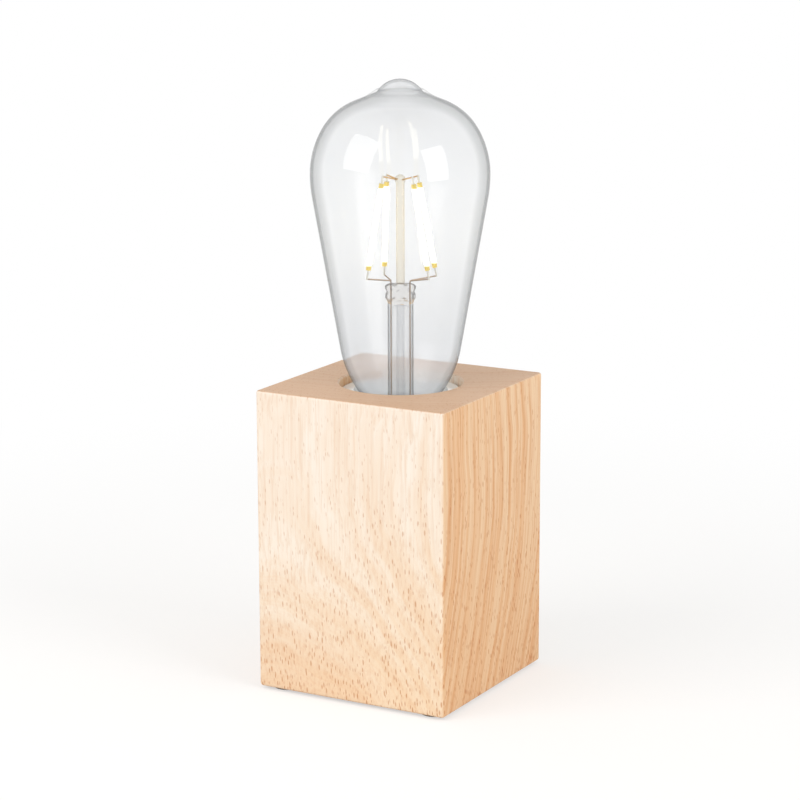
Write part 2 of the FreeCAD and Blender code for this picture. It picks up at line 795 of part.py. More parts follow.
cover_screws = new_body("cover_screws", z=cover_foot)
screw_outline = countersunk_screw(shank_radius, head_radius, S.wood_screw_length)
cover_screw = turned(cover_screws, "screw", screw_outline, offset=(cover_screw_reach, 0, 0))
repeated(cover_screws, "three_screws", cover_screw, 3)


# ---- threaded tube, its washer and its two nuts ----


def ring(inner, outer, height):
    """A flat ring as an outline."""
    return [(inner, 0), (outer, 0), (outer, height), (inner, height)]


tube_radius = S.tube_diameter / 2
on_tube_radius = tube_radius + S.tube_gap
tube = new_body("threaded_tube", z=tube_foot)
turned(tube, "tube", ring(S.tube_bore / 2, tube_radius, tube_top - tube_foot))

washer = new_body("tube_washer", z=recess_top - S.washer_thickness)
turned(washer, "washer", ring(on_tube_radius, S.washer_diameter / 2, S.washer_thickness))


def tube_nut(label, foot):
    """A hexagon nut on the threaded tube."""
    nut = new_body(label, z=foot)
    sketch = outline(nut, "hexagon", hexagon(S.nut_flats), "XY_Plane")
    extruded(nut, "nut_blank", sketch, S.nut_height)
    bore = circles(nut, "nut_bore_outline", [(0, 0)], on_tube_radius, offset=(0, 0, 0))
    pocketed(nut, "nut_bore", bore, S.nut_height, upwards=True)


tube_nut("lower_tube_nut", recess_top - S.washer_thickness - S.nut_height)
tube_nut("upper_tube_nut", bracket_top)


# ---- porcelain lampholder ----

holder = new_body("holder_body", z=ledge)
holder_web_foot = web_foot - ledge
holder_web_top = web_top - ledge
plunger_hole_radius = S.plunger_radius + S.plunger_gap
cavity_radius = shell_outer + S.cavity_gap
turned(
    holder,
    "porcelain",
    [
        (plunger_hole_radius, holder_web_foot),
        (S.wiring_radius, holder_web_foot),
        (S.wiring_radius, 0),
        (holder_radius, 0),
        (holder_radius, holder_height - S.face_round, S.face_round),
        (holder_radius - S.face_round, holder_height),
        (S.mouth_radius, holder_height),
        (cavity_radius, holder_height - S.mouth_depth),
        (cavity_radius, holder_web_top),
        (plunger_hole_radius, holder_web_top),
    ],
)
half_channel = S.channel_width / 2
channel_end = -S.terminal_reach - S.strip_end - S.strip_gap
channel_outline = stadium(channel_end, half_channel, half_channel)
channel_sketch = outline(
    holder, "channel_outline", channel_outline, "XY_Plane", (0, 0, holder_web_top)
)
pocketed(holder, "contact_channel", channel_sketch, S.channel_depth)
side_rivet_x = S.terminal_reach * cosine(S.side_rivet_angle)
side_rivet_y = S.terminal_reach * sine(S.side_rivet_angle)
shell_rivet_places = [(side_rivet_x, side_rivet_y), (side_rivet_x, -side_rivet_y)]
neutral_place = (S.terminal_reach, 0)
live_place = (-S.terminal_reach, 0)
rivet_hole_radius = S.rivet_radius + S.rivet_gap
rivet_sketch = circles(
    holder,
    "rivet_hole_outlines",
    shell_rivet_places + [neutral_place, live_place],
    rivet_hole_radius,
    offset=(0, 0, holder_web_top),
)
pocketed(holder, "rivet_holes", rivet_sketch, S.web_thickness + S.cut_past)
slot_outline = stadium(
    -S.bracket_length / 2 - S.bracket_gap,
    S.bracket_length / 2 + S.bracket_gap,
    S.bracket_width / 2 + S.bracket_gap,
)
slot_sketch = outline(holder, "bracket_slot_outline", quarter_turned(slot_outline), "XY_Plane")
pocketed(holder, "bracket_slot", slot_sketch, S.bracket_thickness, upwards=True)
bracket_screw_places = [(0, S.bracket_screw_reach), (0, -S.bracket_screw_reach)]
bracket_hole_sketch = circles(
    holder, "bracket_hole_outlines", bracket_screw_places, small_hole_radius
)
bracket_hole_depth = S.bracket_screw_length + S.hole_end
pocketed(holder, "bracket_holes", bracket_hole_sketch, bracket_hole_depth, upwards=True)


# ---- bracket that joins the lampholder to the tube, and its two screws ----

small_shank = S.small_screw_diameter / 2
small_head = S.small_screw_head / 2
bracket = new_body("holder_bracket", z=ledge)
strip_outline = stadium(-S.bracket_length / 2, S.bracket_length / 2, S.bracket_width / 2)
bracket_sketch = outline(bracket, "strip_outline", quarter_turned(strip_outline), "XY_Plane")
extruded(bracket, "strip", bracket_sketch, S.bracket_thickness)
bracket_bore = circles(bracket, "tube_hole_outline", [(0, 0)], on_tube_radius)
pocketed(bracket, "tube_hole", bracket_bore, S.bracket_thickness, upwards=True)
bracket_sink = turned(
    bracket,
    "screw_hole",
    countersink(small_shank, small_head, S.bracket_thickness),
    offset=(0, 0, -S.bracket_screw_reach),
    cut=True,
)
repeated(bracket, "screw_holes", bracket_sink, 2)

bracket_screws = new_body("bracket_screws", z=ledge)
bracket_screw = turned(
    bracket_screws,
    "screw",
    countersunk_screw(small_shank, small_head, S.bracket_screw_length),
    offset=(0, 0, -S.bracket_screw_reach),
)
repeated(bracket_screws, "two_screws", bracket_screw, 2)


# ---- screw shell: the threaded sleeve that takes the bulb's cap ----

shell = new_body("screw_shell", z=web_top)
turned(
    shell,
    "sleeve",
    [
        (shell_inner, 0),
        (shell_outer, 0),
        (shell_outer, S.shell_height),
        (shell_inner, S.shell_height),
    ],
)
foot_outline = [
    (S.shell_foot_inner, 0),
    (shell_inner + S.sheet_metal / 2, 0),
    (shell_inner + S.sheet_metal / 2, S.sheet_metal),
    (S.shell_foot_inner, S.sheet_metal),
]
shell_foot = turned(shell, "foot", foot_outline)
bind(shell_foot, "Angle", S.shell_foot_angle)
shell_foot.Midplane = True
shell_rivet_sketch = circles(
    shell, "rivet_hole_outlines", shell_rivet_places + [neutral_place], rivet_hole_radius
)
pocketed(shell, "rivet_holes", shell_rivet_sketch, S.sheet_metal, upwards=True)
shell_crest = S.cap_root_radius + S.thread_gap
shell_first_ridge = bulb_seat - web_top + S.cap_thread_height + S.thread_pitch / 2
ridge(
    shell,
    "thread",
    shell_inner + S.ridge_bury,
    shell_crest,
    shell_first_ridge,
    S.shell_thread_turns,
)


# ---- rivets: two hold the shell, one joins the shell and one the contact to a terminal ----


def rivet_outline(shank_foot, shank_top, lower_head):
    """A rivet with a head on top, and one below if lower_head."""
    points = [
        (0, shank_foot),
        (S.rivet_radius, shank_foot),
        (S.rivet_radius, shank_top),
        (S.rivet_head_radius, shank_top),
        (S.rivet_head_radius, shank_top + S.rivet_head_height),
        (0, shank_top + S.rivet_head_height),
    ]
    if lower_head:
        low = shank_foot - S.rivet_head_height
        points[0:2] = [
            (0, low),
            (S.rivet_head_radius, low),
            (S.rivet_head_radius, shank_foot),
            (S.rivet_radius, shank_foot),
        ]
    return points


shell_rivets = new_body("shell_rivets", z=web_foot)
flange_level = S.web_thickness + S.sheet_metal
for number, (x, y) in enumerate(shell_rivet_places, start=1):
    points = rivet_outline(0, flange_level, lower_head=True)
    turned(shell_rivets, "rivet_%d" % number, points, offset=(x, 0, -y))

rivet_end = -S.terminal_height + S.wire_hole_height + S.wire_hole_radius + S.rivet_rise
neutral_rivet = new_body("neutral_rivet", x=S.terminal_reach, z=web_foot)
turned(neutral_rivet, "rivet", rivet_outline(rivet_end, flange_level, lower_head=False))
live_rivet = new_body("live_rivet", x=-S.terminal_reach, z=web_foot)
strip_level = S.web_thickness - S.channel_depth + S.strip_thickness
turned(live_rivet, "rivet", rivet_outline(rivet_end, strip_level, lower_head=False))


# ---- live contact: strip, coil spring, plunger and its clip ----

strip = new_body("contact_strip", z=channel_floor)
strip_half = half_channel - S.strip_gap
strip_sketch = outline(
    strip,
    "strip_outline",
    stadium(-S.terminal_reach - S.strip_end, strip_half, strip_half),
    "XY_Plane",
)
extruded(strip, "strip", strip_sketch, S.strip_thickness)
stem_hole = circles(strip, "stem_hole_outline", [(0, 0)], plunger_hole_radius)
pocketed(strip, "stem_hole", stem_hole, S.strip_thickness, upwards=True)
strip_rivet_hole = circles(strip, "rivet_hole_outline", [live_place], rivet_hole_radius)
pocketed(strip, "rivet_hole", strip_rivet_hole, S.strip_thickness, upwards=True)

plunger_head_foot = bulb_seat - S.contact_gap - S.plunger_head_height
clip_top = web_foot - S.clip_play
clip_foot = clip_top - S.clip_thickness
plunger_foot = clip_foot - S.clip_play - S.plunger_tail
groove_foot = clip_foot - S.clip_play - plunger_foot
groove_top = clip_top + S.clip_play - plunger_foot
groove_radius = S.plunger_radius - S.clip_groove_depth
stem_top = plunger_head_foot - plunger_foot
head_top = stem_top + S.plunger_head_height
plunger = new_body("contact_plunger", z=plunger_foot)
turned(
    plunger,
    "plunger",
    [
        (0, 0),
        (S.plunger_radius, 0),
        (S.plunger_radius, groove_foot),
        (groove_radius, groove_foot),
        (groove_radius, groove_top),
        (S.plunger_radius, groove_top),
        (S.plunger_radius, stem_top),
        (S.plunger_head_radius, stem_top),
        (S.plunger_head_radius, head_top - S.plunger_edge),
        (S.plunger_head_radius - S.plunger_edge, head_top),
        (0, head_top),
    ],
)

clip = new_body("plunger_clip", z=clip_foot)
clip_outline = ring(groove_radius + S.clip_play, S.clip_radius, S.clip_thickness)
clip_ring = turned(clip, "clip", clip_outline)
bind(clip_ring, "Angle", S.clip_angle)
clip_ring.Midplane = True

spring_foot = channel_floor + S.strip_thickness + S.spring_play + S.spring_wire
spring_rise = plunger_head_foot - S.spring_play - S.spring_wire - spring_foot


def arc_to(start, corner, end):
    """The arc from start to end whose end tangents meet at the corner."""
    middle = (start + end) / 2
    half_chord = (end - start).Length / 2
    half_turn = math.acos(half_chord / (corner - start).Length)
    height = half_chord * math.tan(half_turn / 2)
    top = middle + (corner - middle).normalize() * height
    return Part.Arc(start, top, end).toShape()


def coil_path(radius, rise, turns, pieces_per_turn=8):
    """A helix about Z as pairs of tangent arcs, from (radius, 0, 0) upwards."""
    count = int(math.ceil(turns * pieces_per_turn))
    step = math.radians(FULL_TURN * turns / count)
    climb = rise / count
    edges = []
    for index in range(count):
        ends = []
        for number in (index, index + 1):
            place = vector(
                radius * math.cos(step * number), radius * math.sin(step * number), climb * number
            )
            onward = vector(-place.y * step, place.x * step, climb).normalize()
            ends.append((place, onward))
        (start, first), (end, last) = ends
        chord = end - start
        spread = 2 * (1 - first.dot(last))
        slope = chord.dot(first + last)
        reach = (math.sqrt(slope * slope + spread * chord.dot(chord)) - slope) / spread
        corners = (start + first * reach, end - last * reach)
        join = (corners[0] + corners[1]) / 2
        edges.append(arc_to(start, corners[0], join))
        edges.append(arc_to(join, corners[1], end))
    return Part.Wire(edges)


spring_path = coil_path(S.spring_radius.value, spring_rise.value, S.spring_turns.value)
shaped("contact_spring", piped(spring_path, S.spring_wire), spring_foot)


# ---- brass terminals under the porcelain web, and their screws ----


def terminal(label, side):
    """A terminal whose wire hole opens towards the axis; side is 1 at +X and -1 at -X."""
    body = new_body(label, x=S.terminal_reach * side, z=web_foot - S.terminal_height)
    half_length = S.terminal_length / 2
    corners = rectangle(half_length, S.terminal_width / 2)
    sketch = outline(body, "block_outline", corners, "XY_Plane")
    extruded(body, "block", sketch, S.terminal_height)
    hole_end = -half_length + S.wire_hole_depth
    turned(
        body,
        "wire_hole",
        [
            (-half_length * side, 0),
            (hole_end * side, 0),
            (hole_end * side, S.wire_hole_radius),
            (-half_length * side, S.wire_hole_radius),
        ],
        about="H_Axis",
        offset=(0, S.wire_hole_height, 0),
        cut=True,
    )
    screw_hole = circles(body, "screw_hole_outline", [(0, 0)], small_hole_radius)
    pocketed(body, "screw_hole", screw_hole, S.wire_hole_height, upwards=True)
    rivet_hole = circles(
        body, "rivet_hole_outline", [(0, 0)], rivet_hole_radius, offset=(0, 0, S.terminal_height)
    )
    pocketed(body, "rivet_hole", rivet_hole, -rivet_end)


terminal("neutral_terminal", 1)
terminal("live_terminal", -1)

terminal_screw_foot = web_foot - S.terminal_height - S.terminal_head
terminal_screws = new_body("terminal_screws", z=terminal_screw_foot)
clamp_top = S.terminal_head + S.wire_hole_height - S.core_radius - S.core_gap
terminal_screw = turned(
    terminal_screws,
    "screw",
    [
        (0, 0),
        (small_head, 0),
        (small_head, S.terminal_head),
        (small_shank, S.terminal_head),
        (small_shank, clamp_top),
        (0, clamp_top),
    ],
    offset=(S.terminal_reach, 0, 0),
)
repeated(terminal_screws, "two_screws", terminal_screw, 2)


# ---- connector in the base: block, barrels, clamp screws and fixing screw ----

connector = new_body("connector_block", x=-S.connector_reach, z=recess_top - S.connector_height)
connector_outline = rectangle(S.connector_length / 2, S.connector_width / 2)
connector_sketch = outline(connector, "block_outline", connector_outline, "XY_Plane")
connector_blank = extruded(connector, "block", connector_sketch, S.connector_height)
rounded(connector, "rounding", connector_blank, S.connector_round, upright)
half_width = S.connector_width / 2
half_height = S.connector_height / 2
barrel_hole_radius = S.barrel_radius + S.barrel_gap
half_spacing = S.pole_spacing / 2
for number, pole in enumerate((half_spacing, -half_spacing), start=1):
    turned(
        connector,
        "barrel_hole_%d" % number,
        [
            (-half_width, 0),
            (half_width, 0),
            (half_width, barrel_hole_radius),
            (-half_width, barrel_hole_radius),
        ],
        about="H_Axis",
        plane="YZ_Plane",
        offset=(0, half_height, pole),
        cut=True,
    )
clamp_places = [
    (pole, reach)
    for pole, reach in itertools.product(
        (half_spacing, -half_spacing), (S.clamp_screw_reach, -S.clamp_screw_reach)
    )
]
clamp_hole_radius = S.clamp_screw_radius + S.screw_gap
clamp_sketch = circles(connector, "clamp_hole_outlines", clamp_places, clamp_hole_radius)
pocketed(connector, "clamp_holes", clamp_sketch, half_height, upwards=True)
turned(
    connector,
    "fixing_hole",
    countersink(shank_radius, head_radius, S.connector_height),
    cut=True,
)

barrels = new_body("connector_barrels", x=-S.connector_reach, z=connector_level)
half_barrel = S.barrel_length / 2
for number, pole in enumerate((half_spacing, -half_spacing), start=1):
    turned(
        barrels,
        "barrel_%d" % number,
        [
            (-half_barrel, S.barrel_bore),
            (half_barrel, S.barrel_bore),
            (half_barrel, S.barrel_radius),
            (-half_barrel, S.barrel_radius),
        ],
        about="H_Axis",
        plane="YZ_Plane",
        offset=(0, 0, pole),
    )
barrel_clamp_sketch = circles(barrels, "clamp_hole_outlines", clamp_places, clamp_hole_radius)
pocketed(barrels, "clamp_holes", barrel_clamp_sketch, S.barrel_radius)

clamp_foot = recess_top - S.connector_height + S.clamp_screw_sink
clamp_screws = new_body("connector_clamp_screws", x=-S.connector_reach, z=clamp_foot)
clamp_length = connector_level - S.core_radius - S.core_gap - clamp_foot
clamp_screw_sketch = circles(clamp_screws, "screw_outlines", clamp_places, S.clamp_screw_radius)
extruded(clamp_screws, "four_screws", clamp_screw_sketch, clamp_length)

connector_screw = new_body(
    "connector_screw", x=-S.connector_reach, z=recess_top - S.connector_height
)
connector_screw_outline = countersunk_screw(shank_radius, head_radius, S.connector_screw_length)
turned(connector_screw, "screw", connector_screw_outline)


# ---- leads from the terminals, down the tube and round to the connector ----


def lead(label, side, pole, drop, loop):
    """One insulated lead and its core, as two sub-parts on the same path."""
    inner_face = S.terminal_reach - S.terminal_length / 2
    low = recess_top - drop
    front = -half_width - loop
    points = [
        vector((inner_face - S.lead_stop) * side, 0, wire_level),
        vector(S.lead_offset * side, 0, wire_level),
        vector(S.lead_offset * side, 0, low),
        vector(pole, front, low),
        vector(pole, front, connector_level),
        vector(pole, -half_width - S.lead_stop, connector_level),
    ]
    low_bend = S.lead_low_bend.value
    bends = [S.lead_bend.value, low_bend, low_bend, low_bend]
    print(label, "bend radii", bends)
    core_points = list(points)
    bare = S.strip_length.value
    core_points[0] = points[0] + FreeCAD.Vector(side * bare, 0, 0)
    core_points[-1] = points[-1] + FreeCAD.Vector(0, bare, 0)
    core_path = bent_path(core_points, bends)
    jacket = piped(bent_path(points, bends), S.lead_radius)
    shaped(label, jacket.cut(piped(core_path, S.core_radius + S.core_gap)))
    shaped(label + "_core", piped(core_path, S.core_radius))


lead("live_lead", -1, half_spacing - S.connector_reach, S.live_drop, S.live_loop)
lead("neutral_lead", 1, -half_spacing - S.connector_reach, S.neutral_drop, S.neutral_loop)


# ---- bulb cap: threaded shell, contact, insulator and cement ----

cap = new_body("cap_shell", z=bulb_seat)
cap_inner = S.cap_root_radius - S.cap_wall
skirt_inner = S.cap_crest_radius - S.cap_wall
skirt_foot = S.cap_length - S.skirt_height
step = S.cap_crest_radius - S.cap_root_radius
lip_inner = S.insulator_radius + S.glass_fit
lip_outer = lip_inner + S.cap_wall
turned(
    cap,
    "sheet",
    [
        (lip_inner, S.cap_foot_height),
        (lip_outer, S.cap_foot_height),
        (S.cap_root_radius, S.cap_cone_height),
        (S.cap_root_radius, skirt_foot - step),
        (S.cap_crest_radius, skirt_foot),
        (S.cap_crest_radius, S.cap_length),
        (skirt_inner, S.cap_length),
        (skirt_inner, skirt_foot + S.cap_wall / 2),
        (cap_inner, skirt_foot - step + S.cap_wall / 2),
        (cap_inner, S.cap_cone_height + S.cap_wall / 2),
        (lip_inner, S.cap_foot_height + S.cap_wall * 2),
    ],
)
ridge(
    cap,
    "thread",
    S.cap_root_radius - S.ridge_bury,
    S.cap_crest_radius,
    S.cap_thread_height,
    S.cap_thread_turns,
)

contact = new_body("cap_contact", z=bulb_seat)
feed_hole_radius = S.feed_wire + S.board_gap
turned(
    contact,
    "button",
    [
        (feed_hole_radius, 0),
        (S.button_radius - S.button_edge, 0),
        (S.button_radius, S.button_edge),
        (S.button_radius, S.button_thickness),
        (S.eyelet_radius, S.button_thickness),
        (S.eyelet_radius, S.eyelet_height),
        (feed_hole_radius, S.eyelet_height),
    ],
)

insulator = new_body("cap_insulator", z=bulb_seat)
insulator_foot = S.button_thickness + S.glass_fit
insulator_bore = S.eyelet_radius + S.glass_fit
turned(
    insulator,
    "glass",
    [
        (insulator_bore, insulator_foot),
        (S.button_radius, insulator_foot),
        (S.insulator_radius, S.cap_foot_height),
        (S.insulator_radius, S.insulator_height),
        (insulator_bore, S.insulator_height),
    ],
)


# ---- glass envelope: one wall of even thickness between two rows of tangent arcs ----

taper_cos = cosine(S.taper_angle)
taper_sin = sine(S.taper_angle)
shoulder_cos = cosine(S.shoulder_angle)
shoulder_sin = sine(S.shoulder_angle)
crown_cos = cosine(S.crown_angle)
crown_sin = sine(S.crown_angle)

# taper: a straight side between the waist curve and the foot curve
waist_r = S.bulb_radius - S.waist_arc * (1 - taper_cos)
waist_v = S.foot_height + (waist_r - S.foot_radius) * taper_cos / taper_sin
widest_v = waist_v + S.waist_arc * taper_sin

# neck: the foot curve meets the hollow curve where both have the same slope
hollow_r = S.neck_radius + S.neck_blend
join_rise = hollow_r - S.foot_radius + S.foot_arc * taper_cos
join_cos = join_rise / (S.foot_arc + S.neck_blend)
join_sin = root(1 - join_cos * join_cos)
join_r = hollow_r - S.neck_blend * join_cos
join_v = S.foot_height + S.foot_arc * taper_sin - S.foot_arc * join_sin
neck_top_v = join_v - S.neck_blend * join_sin

# shoulder and crown
shoulder_r = S.bulb_radius * shoulder_cos
shoulder_v = widest_v + S.bulb_radius * shoulder_sin
crown_r = shoulder_r - S.shoulder_arc * (shoulder_cos - crown_cos)
crown_v = shoulder_v + S.shoulder_arc * (crown_sin - shoulder_sin)

# tip: a ball on the axis, blended into the crown's cone by a hollow curve
cone_apex = crown_v + crown_r * crown_cos / crown_sin
tip_v = cone_apex + S.tip_rise
ball_v = tip_v - S.tip_radius
reach = S.tip_radius + S.tip_blend
lift = (cone_apex - ball_v) * crown_sin + S.tip_blend
along = root(reach * reach - lift * lift)
blend_r = lift * crown_cos + along * crown_sin
blend_v = ball_v + lift * crown_sin - along * crown_cos
ball_nr = blend_r / reach
ball_nv = (blend_v - ball_v) / reach

tip_end = (S.tip_radius * ball_nr, ball_v + S.tip_radius * ball_nv)
blend_end = (blend_r - S.tip_blend * crown_cos, blend_v - S.tip_blend * crown_sin)

# each row: place, outward direction there, radius of the curve down to the next place
profile = [
    ((0, tip_v), (0, 1), S.tip_radius),
    (tip_end, (ball_nr, ball_nv), -S.tip_blend),
    (blend_end, (crown_cos, crown_sin), None),
    ((crown_r, crown_v), (crown_cos, crown_sin), S.shoulder_arc),
    ((shoulder_r, shoulder_v), (shoulder_cos, shoulder_sin), S.bulb_radius),
    ((S.bulb_radius, widest_v), (1, 0), S.waist_arc),
    ((waist_r, waist_v), (taper_cos, -taper_sin), None),
    ((S.foot_radius, S.foot_height), (taper_cos, -taper_sin), S.foot_arc),
    ((join_r, join_v), (join_cos, -join_sin), -S.neck_blend),
    ((S.neck_radius, neck_top_v), (1, 0), None),
    ((S.neck_radius, S.neck_foot), (1, 0), None),
]
outer_side = [
    (r, v) if curve is None else (r, v, -curve) for (r, v), direction, curve in profile
]
inner_curves = [curve for _, _, curve in reversed(profile[:-1])] + [None]
inner_side = []
for (place, direction, _), curve in zip(reversed(profile), inner_curves):
    r = place[0] - S.glass_wall * direction[0]
    v = place[1] - S.glass_wall * direction[1]
    inner_side.append((r, v) if curve is None else (r, v, curve - S.glass_wall))
envelope = new_body("glass_envelope", z=bulb_seat)
turned(envelope, "glass", outer_side + inner_side)

# the cement fills the cap's skirt round the neck
cement = new_body("cap_cement", z=bulb_seat)
cement_inner = S.neck_radius + S.glass_fit
cement_outer = skirt_inner - S.glass_fit
cement_foot = skirt_foot + S.cap_wall
turned(
    cement,
    "cement",
    [
        (cement_inner, cement_foot),
        (cement_outer, cement_foot),
        (cement_outer, neck_top_v),
        (cement_inner, neck_top_v),
    ],
)


# ---- glass inside the bulb: stem with its press, exhaust tube and centre post ----

stem_inner = S.stem_radius - S.stem_wall
flare_rim = S.neck_radius - S.glass_wall - S.glass_fit
flare_foot = S.neck_foot + S.glass_wall
flare_top = flare_foot + S.flare_height
flare_width = flare_rim - S.stem_radius
flare_arc = (flare_width * flare_width + S.flare_height * S.flare_height) / (flare_width * 2)
flare_sin = S.flare_height / flare_arc
flare_cos = 1 - flare_width / flare_arc
plug_top = S.press_height + S.press_plug
press_top = S.press_height + S.press_length

stem = new_body("stem", z=bulb_seat, turn=S.inside_turn)
turned(
    stem,
    "tube",
    [
        (0, S.press_height),
        (stem_inner, S.press_height),
        (stem_inner, flare_top, flare_arc + S.stem_wall),
        (flare_rim - S.stem_wall * flare_cos, flare_foot - S.stem_wall * flare_sin),
        (flare_rim, flare_foot, -flare_arc),
        (S.stem_radius, flare_top),
        (S.stem_radius, plug_top - S.press_shoulder, S.press_shoulder),
        (S.stem_radius - S.press_shoulder, plug_top),
        (0, plug_top),
    ],
)
press_sketch = outline(
    stem,
    "press_outline",
    stadium(-S.press_half_width, S.press_half_width, S.press_half_depth),
    "XY_Plane",
    (0, 0, S.press_height + S.press_rise),
)
press = extruded(stem, "press", press_sketch, S.press_length - S.press_rise)
rounded(stem, "press_rounding", press, S.press_round, at_height(press_top.value))
wire_hole_places = [(S.lead_in_reach, 0), (-S.lead_in_reach, 0)]
glass_hole_radius = S.support_wire + S.wire_fit
stem_hole_sketch = circles(
    stem, "wire_hole_outlines", wire_hole_places, glass_hole_radius, offset=(0, 0, press_top)
)
pocketed(stem, "wire_holes", stem_hole_sketch, S.press_length + S.cut_past)

exhaust = new_body("exhaust_tube", z=bulb_seat, turn=S.inside_turn)
exhaust_top = S.press_height - S.glass_fit
exhaust_inner = S.exhaust_radius - S.exhaust_wall
sealed_top = S.exhaust_foot + S.exhaust_radius
turned(
    exhaust,
    "tube",
    [
        (0, S.exhaust_foot, S.exhaust_radius),
        (S.exhaust_radius, sealed_top),
        (S.exhaust_radius, exhaust_top),
        (exhaust_inner, exhaust_top),
        (exhaust_inner, sealed_top),
        (0, sealed_top),
    ],
)


# ---- filaments, their tabs and the wires that hold them ----


def spot(number, end, height):
    """Where a filament's foot or head is."""
    reach = getattr(S, "filament_%d_%s_reach" % (number, end)).value
    angle = math.radians(getattr(S, "filament_%d_%s_angle" % (number, end)).value)
    return vector(reach * math.cos(angle), reach * math.sin(angle), height)


def short_of(start, end, distance):
    """The point on the way from start to end that lies a distance before end."""
    return end - (end - start).normalize() * distance.value


FILAMENTS = (1, 2, 3, 4)
bead_v = press_top + S.post_length
filament_foot_v = press_top + S.filament_foot_rise
filament_head_v = bead_v + S.filament_head_rise
weld = S.tab_radius + S.wire_fit
tabs = []
hangers = []
for number in FILAMENTS:
    foot = spot(number, "foot", filament_foot_v)
    head = spot(number, "head", filament_head_v)
    along_rod = (head - foot).normalize()
    coat_foot = foot + along_rod * S.lower_tab.value
    coat_head = head - along_rod * S.upper_tab.value
    coated = rod(coat_foot, coat_head, S.filament_radius)
    shaped("filament_%d" % number, coated, bulb_seat, S.inside_turn)
    tabs.append(rod(foot, coat_foot, S.tab_radius))
    tabs.append(rod(coat_head, head, S.tab_radius))
    angle = math.radians(getattr(S, "filament_%d_head_angle" % number).value)
    inward = FreeCAD.Vector(math.cos(angle), math.sin(angle), 0)
    start = inward * S.hanger_reach.value + vector(0, 0, bead_v + S.hanger_rise)
    target = head - along_rod * S.tab_radius.value
    hangers.append((start, short_of(start, target, weld)))
shaped("filament_tabs", Part.makeCompound(tabs), bulb_seat, S.inside_turn)
hanger_rods = [rod(start, end, S.support_wire) for start, end in hangers]
shaped("upper_support_wires", Part.makeCompound(hanger_rods), bulb_seat, S.inside_turn)

post_rod = rod(vector(0, 0, press_top), vector(0, 0, bead_v), S.post_radius)
bead = Part.makeSphere(S.bead_radius.value, vector(0, 0, bead_v))
post = post_rod.fuse(bead)
for start, end in hangers:
    inner = start - (end - start).normalize() * S.wire_fit.value
    post = post.cut(rod(inner, end, glass_hole_radius))
shaped("centre_post", post.removeSplitter(), bulb_seat, S.inside_turn)


part_foot = S.board_height + S.board_thickness + S.board_gap


def lead_in(label, side, number):
    """A wire from the board through the press, bent out to a filament's foot."""
    elbow = vector(S.lead_in_reach * side, 0, press_top + S.elbow_rise)
    foot = spot(number, "foot", filament_foot_v + S.tab_radius)
    path = bent_path(
        [vector(S.lead_in_reach * side, 0, part_foot), elbow, short_of(elbow, foot, weld)],
        [S.elbow_bend.value],
    )
    shaped(label, piped(path, S.support_wire), bulb_seat, S.inside_turn)
    return elbow


def branch(label, elbow, number):
    """A wire welded beside a lead-in wire's elbow, out to the next filament's foot."""
    foot = spot(number, "foot", filament_foot_v + S.tab_radius)
    away = foot - elbow
    sideways = FreeCAD.Vector(0, math.copysign(1, away.y), 0)
    start = elbow + sideways * (S.support_wire.value * 2 + S.wire_fit.value)
    wire = rod(start, short_of(start, foot, weld), S.support_wire)
    shaped(label, wire, bulb_seat, S.inside_turn)


left_elbow = lead_in("left_lead_in_wire", -1, 1)
branch("left_branch_wire", left_elbow, 2)
right_elbow = lead_in("right_lead_in_wire", 1, 4)
branch("right_branch_wire", right_elbow, 3)


# ---- driver in the cap: board, its parts and the two feed wires ----

board = new_body("driver_board", z=bulb_seat, turn=S.inside_turn)
board_sketch = circles(
    board, "board_outline", [(0, 0)], S.board_radius, offset=(0, 0, S.board_height)
)
extruded(board, "board", board_sketch, S.board_thickness)


def lying_part(label, x, radius, length):
    """A round component that lies along Y on the board."""
    body = new_body(label, z=bulb_seat, turn=S.inside_turn)
    half = length / 2
    turned(
        body,
        "case",
        [(-half, 0), (half, 0), (half, radius), (-half, radius)],
        about="H_Axis",
        plane="YZ_Plane",
        offset=(0, part_foot + radius, x),
    )


lying_part("driver_capacitor", S.capacitor_reach, S.capacitor_radius, S.capacitor_length)
lying_part("driver_resistor", -S.resistor_reach, S.resistor_radius, S.resistor_length)

rectifier = new_body("driver_rectifier", z=bulb_seat, turn=S.inside_turn)
half_chip = S.rectifier_side / 2
chip_outline = outline(
    rectifier,
    "chip_outline",
    rectangle(half_chip, half_chip),
    "XY_Plane",
    (0, -S.rectifier_reach, part_foot),
)
extruded(rectifier, "chip", chip_outline, S.rectifier_height)

live_feed = new_body("live_feed_wire", z=bulb_seat)
live_feed_sketch = circles(
    live_feed, "wire_outline", [(0, 0)], S.feed_wire, offset=(0, 0, S.feed_end)
)
extruded(live_feed, "wire", live_feed_sketch, S.board_height - S.board_gap - S.feed_end)

neutral_level = part_foot + S.neutral_feed_rise
neutral_path = bent_path(
    [
        vector(0, S.neutral_feed_reach, part_foot),
        vector(0, S.neutral_feed_reach, neutral_level),
        vector(0, cap_inner - S.board_gap, neutral_level),
    ],
    [S.feed_wire_bend.value],
)
shaped("neutral_feed_wire", piped(neutral_path, S.feed_wire), bulb_seat, S.inside_turn)


# ---- checks, then one file for each sub-part ----

doc.recompute()
for item in doc.Objects:
    if "Invalid" in item.State or "Error" in item.State:
        raise RuntimeError("%s failed: %s" % (item.Label, item.State))
for node in nodes:
    if node.Shape.isNull() or not node.Shape.isValid() or not node.Shape.Solids:
        raise RuntimeError("%s has no valid solid" % node.Label)

os.makedirs("parts", exist_ok=True)
for node in nodes:
    node.Shape.exportStep("parts/%s.step" % node.Label)
    report = (node.Label, len(node.Shape.Solids), node.Shape.Volume)
    print("%-24s %2d solid(s) %10.1f mm3" % report)
print(len(nodes), "sub-parts")
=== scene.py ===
import math

import bpy
from mathutils import Matrix, Vector


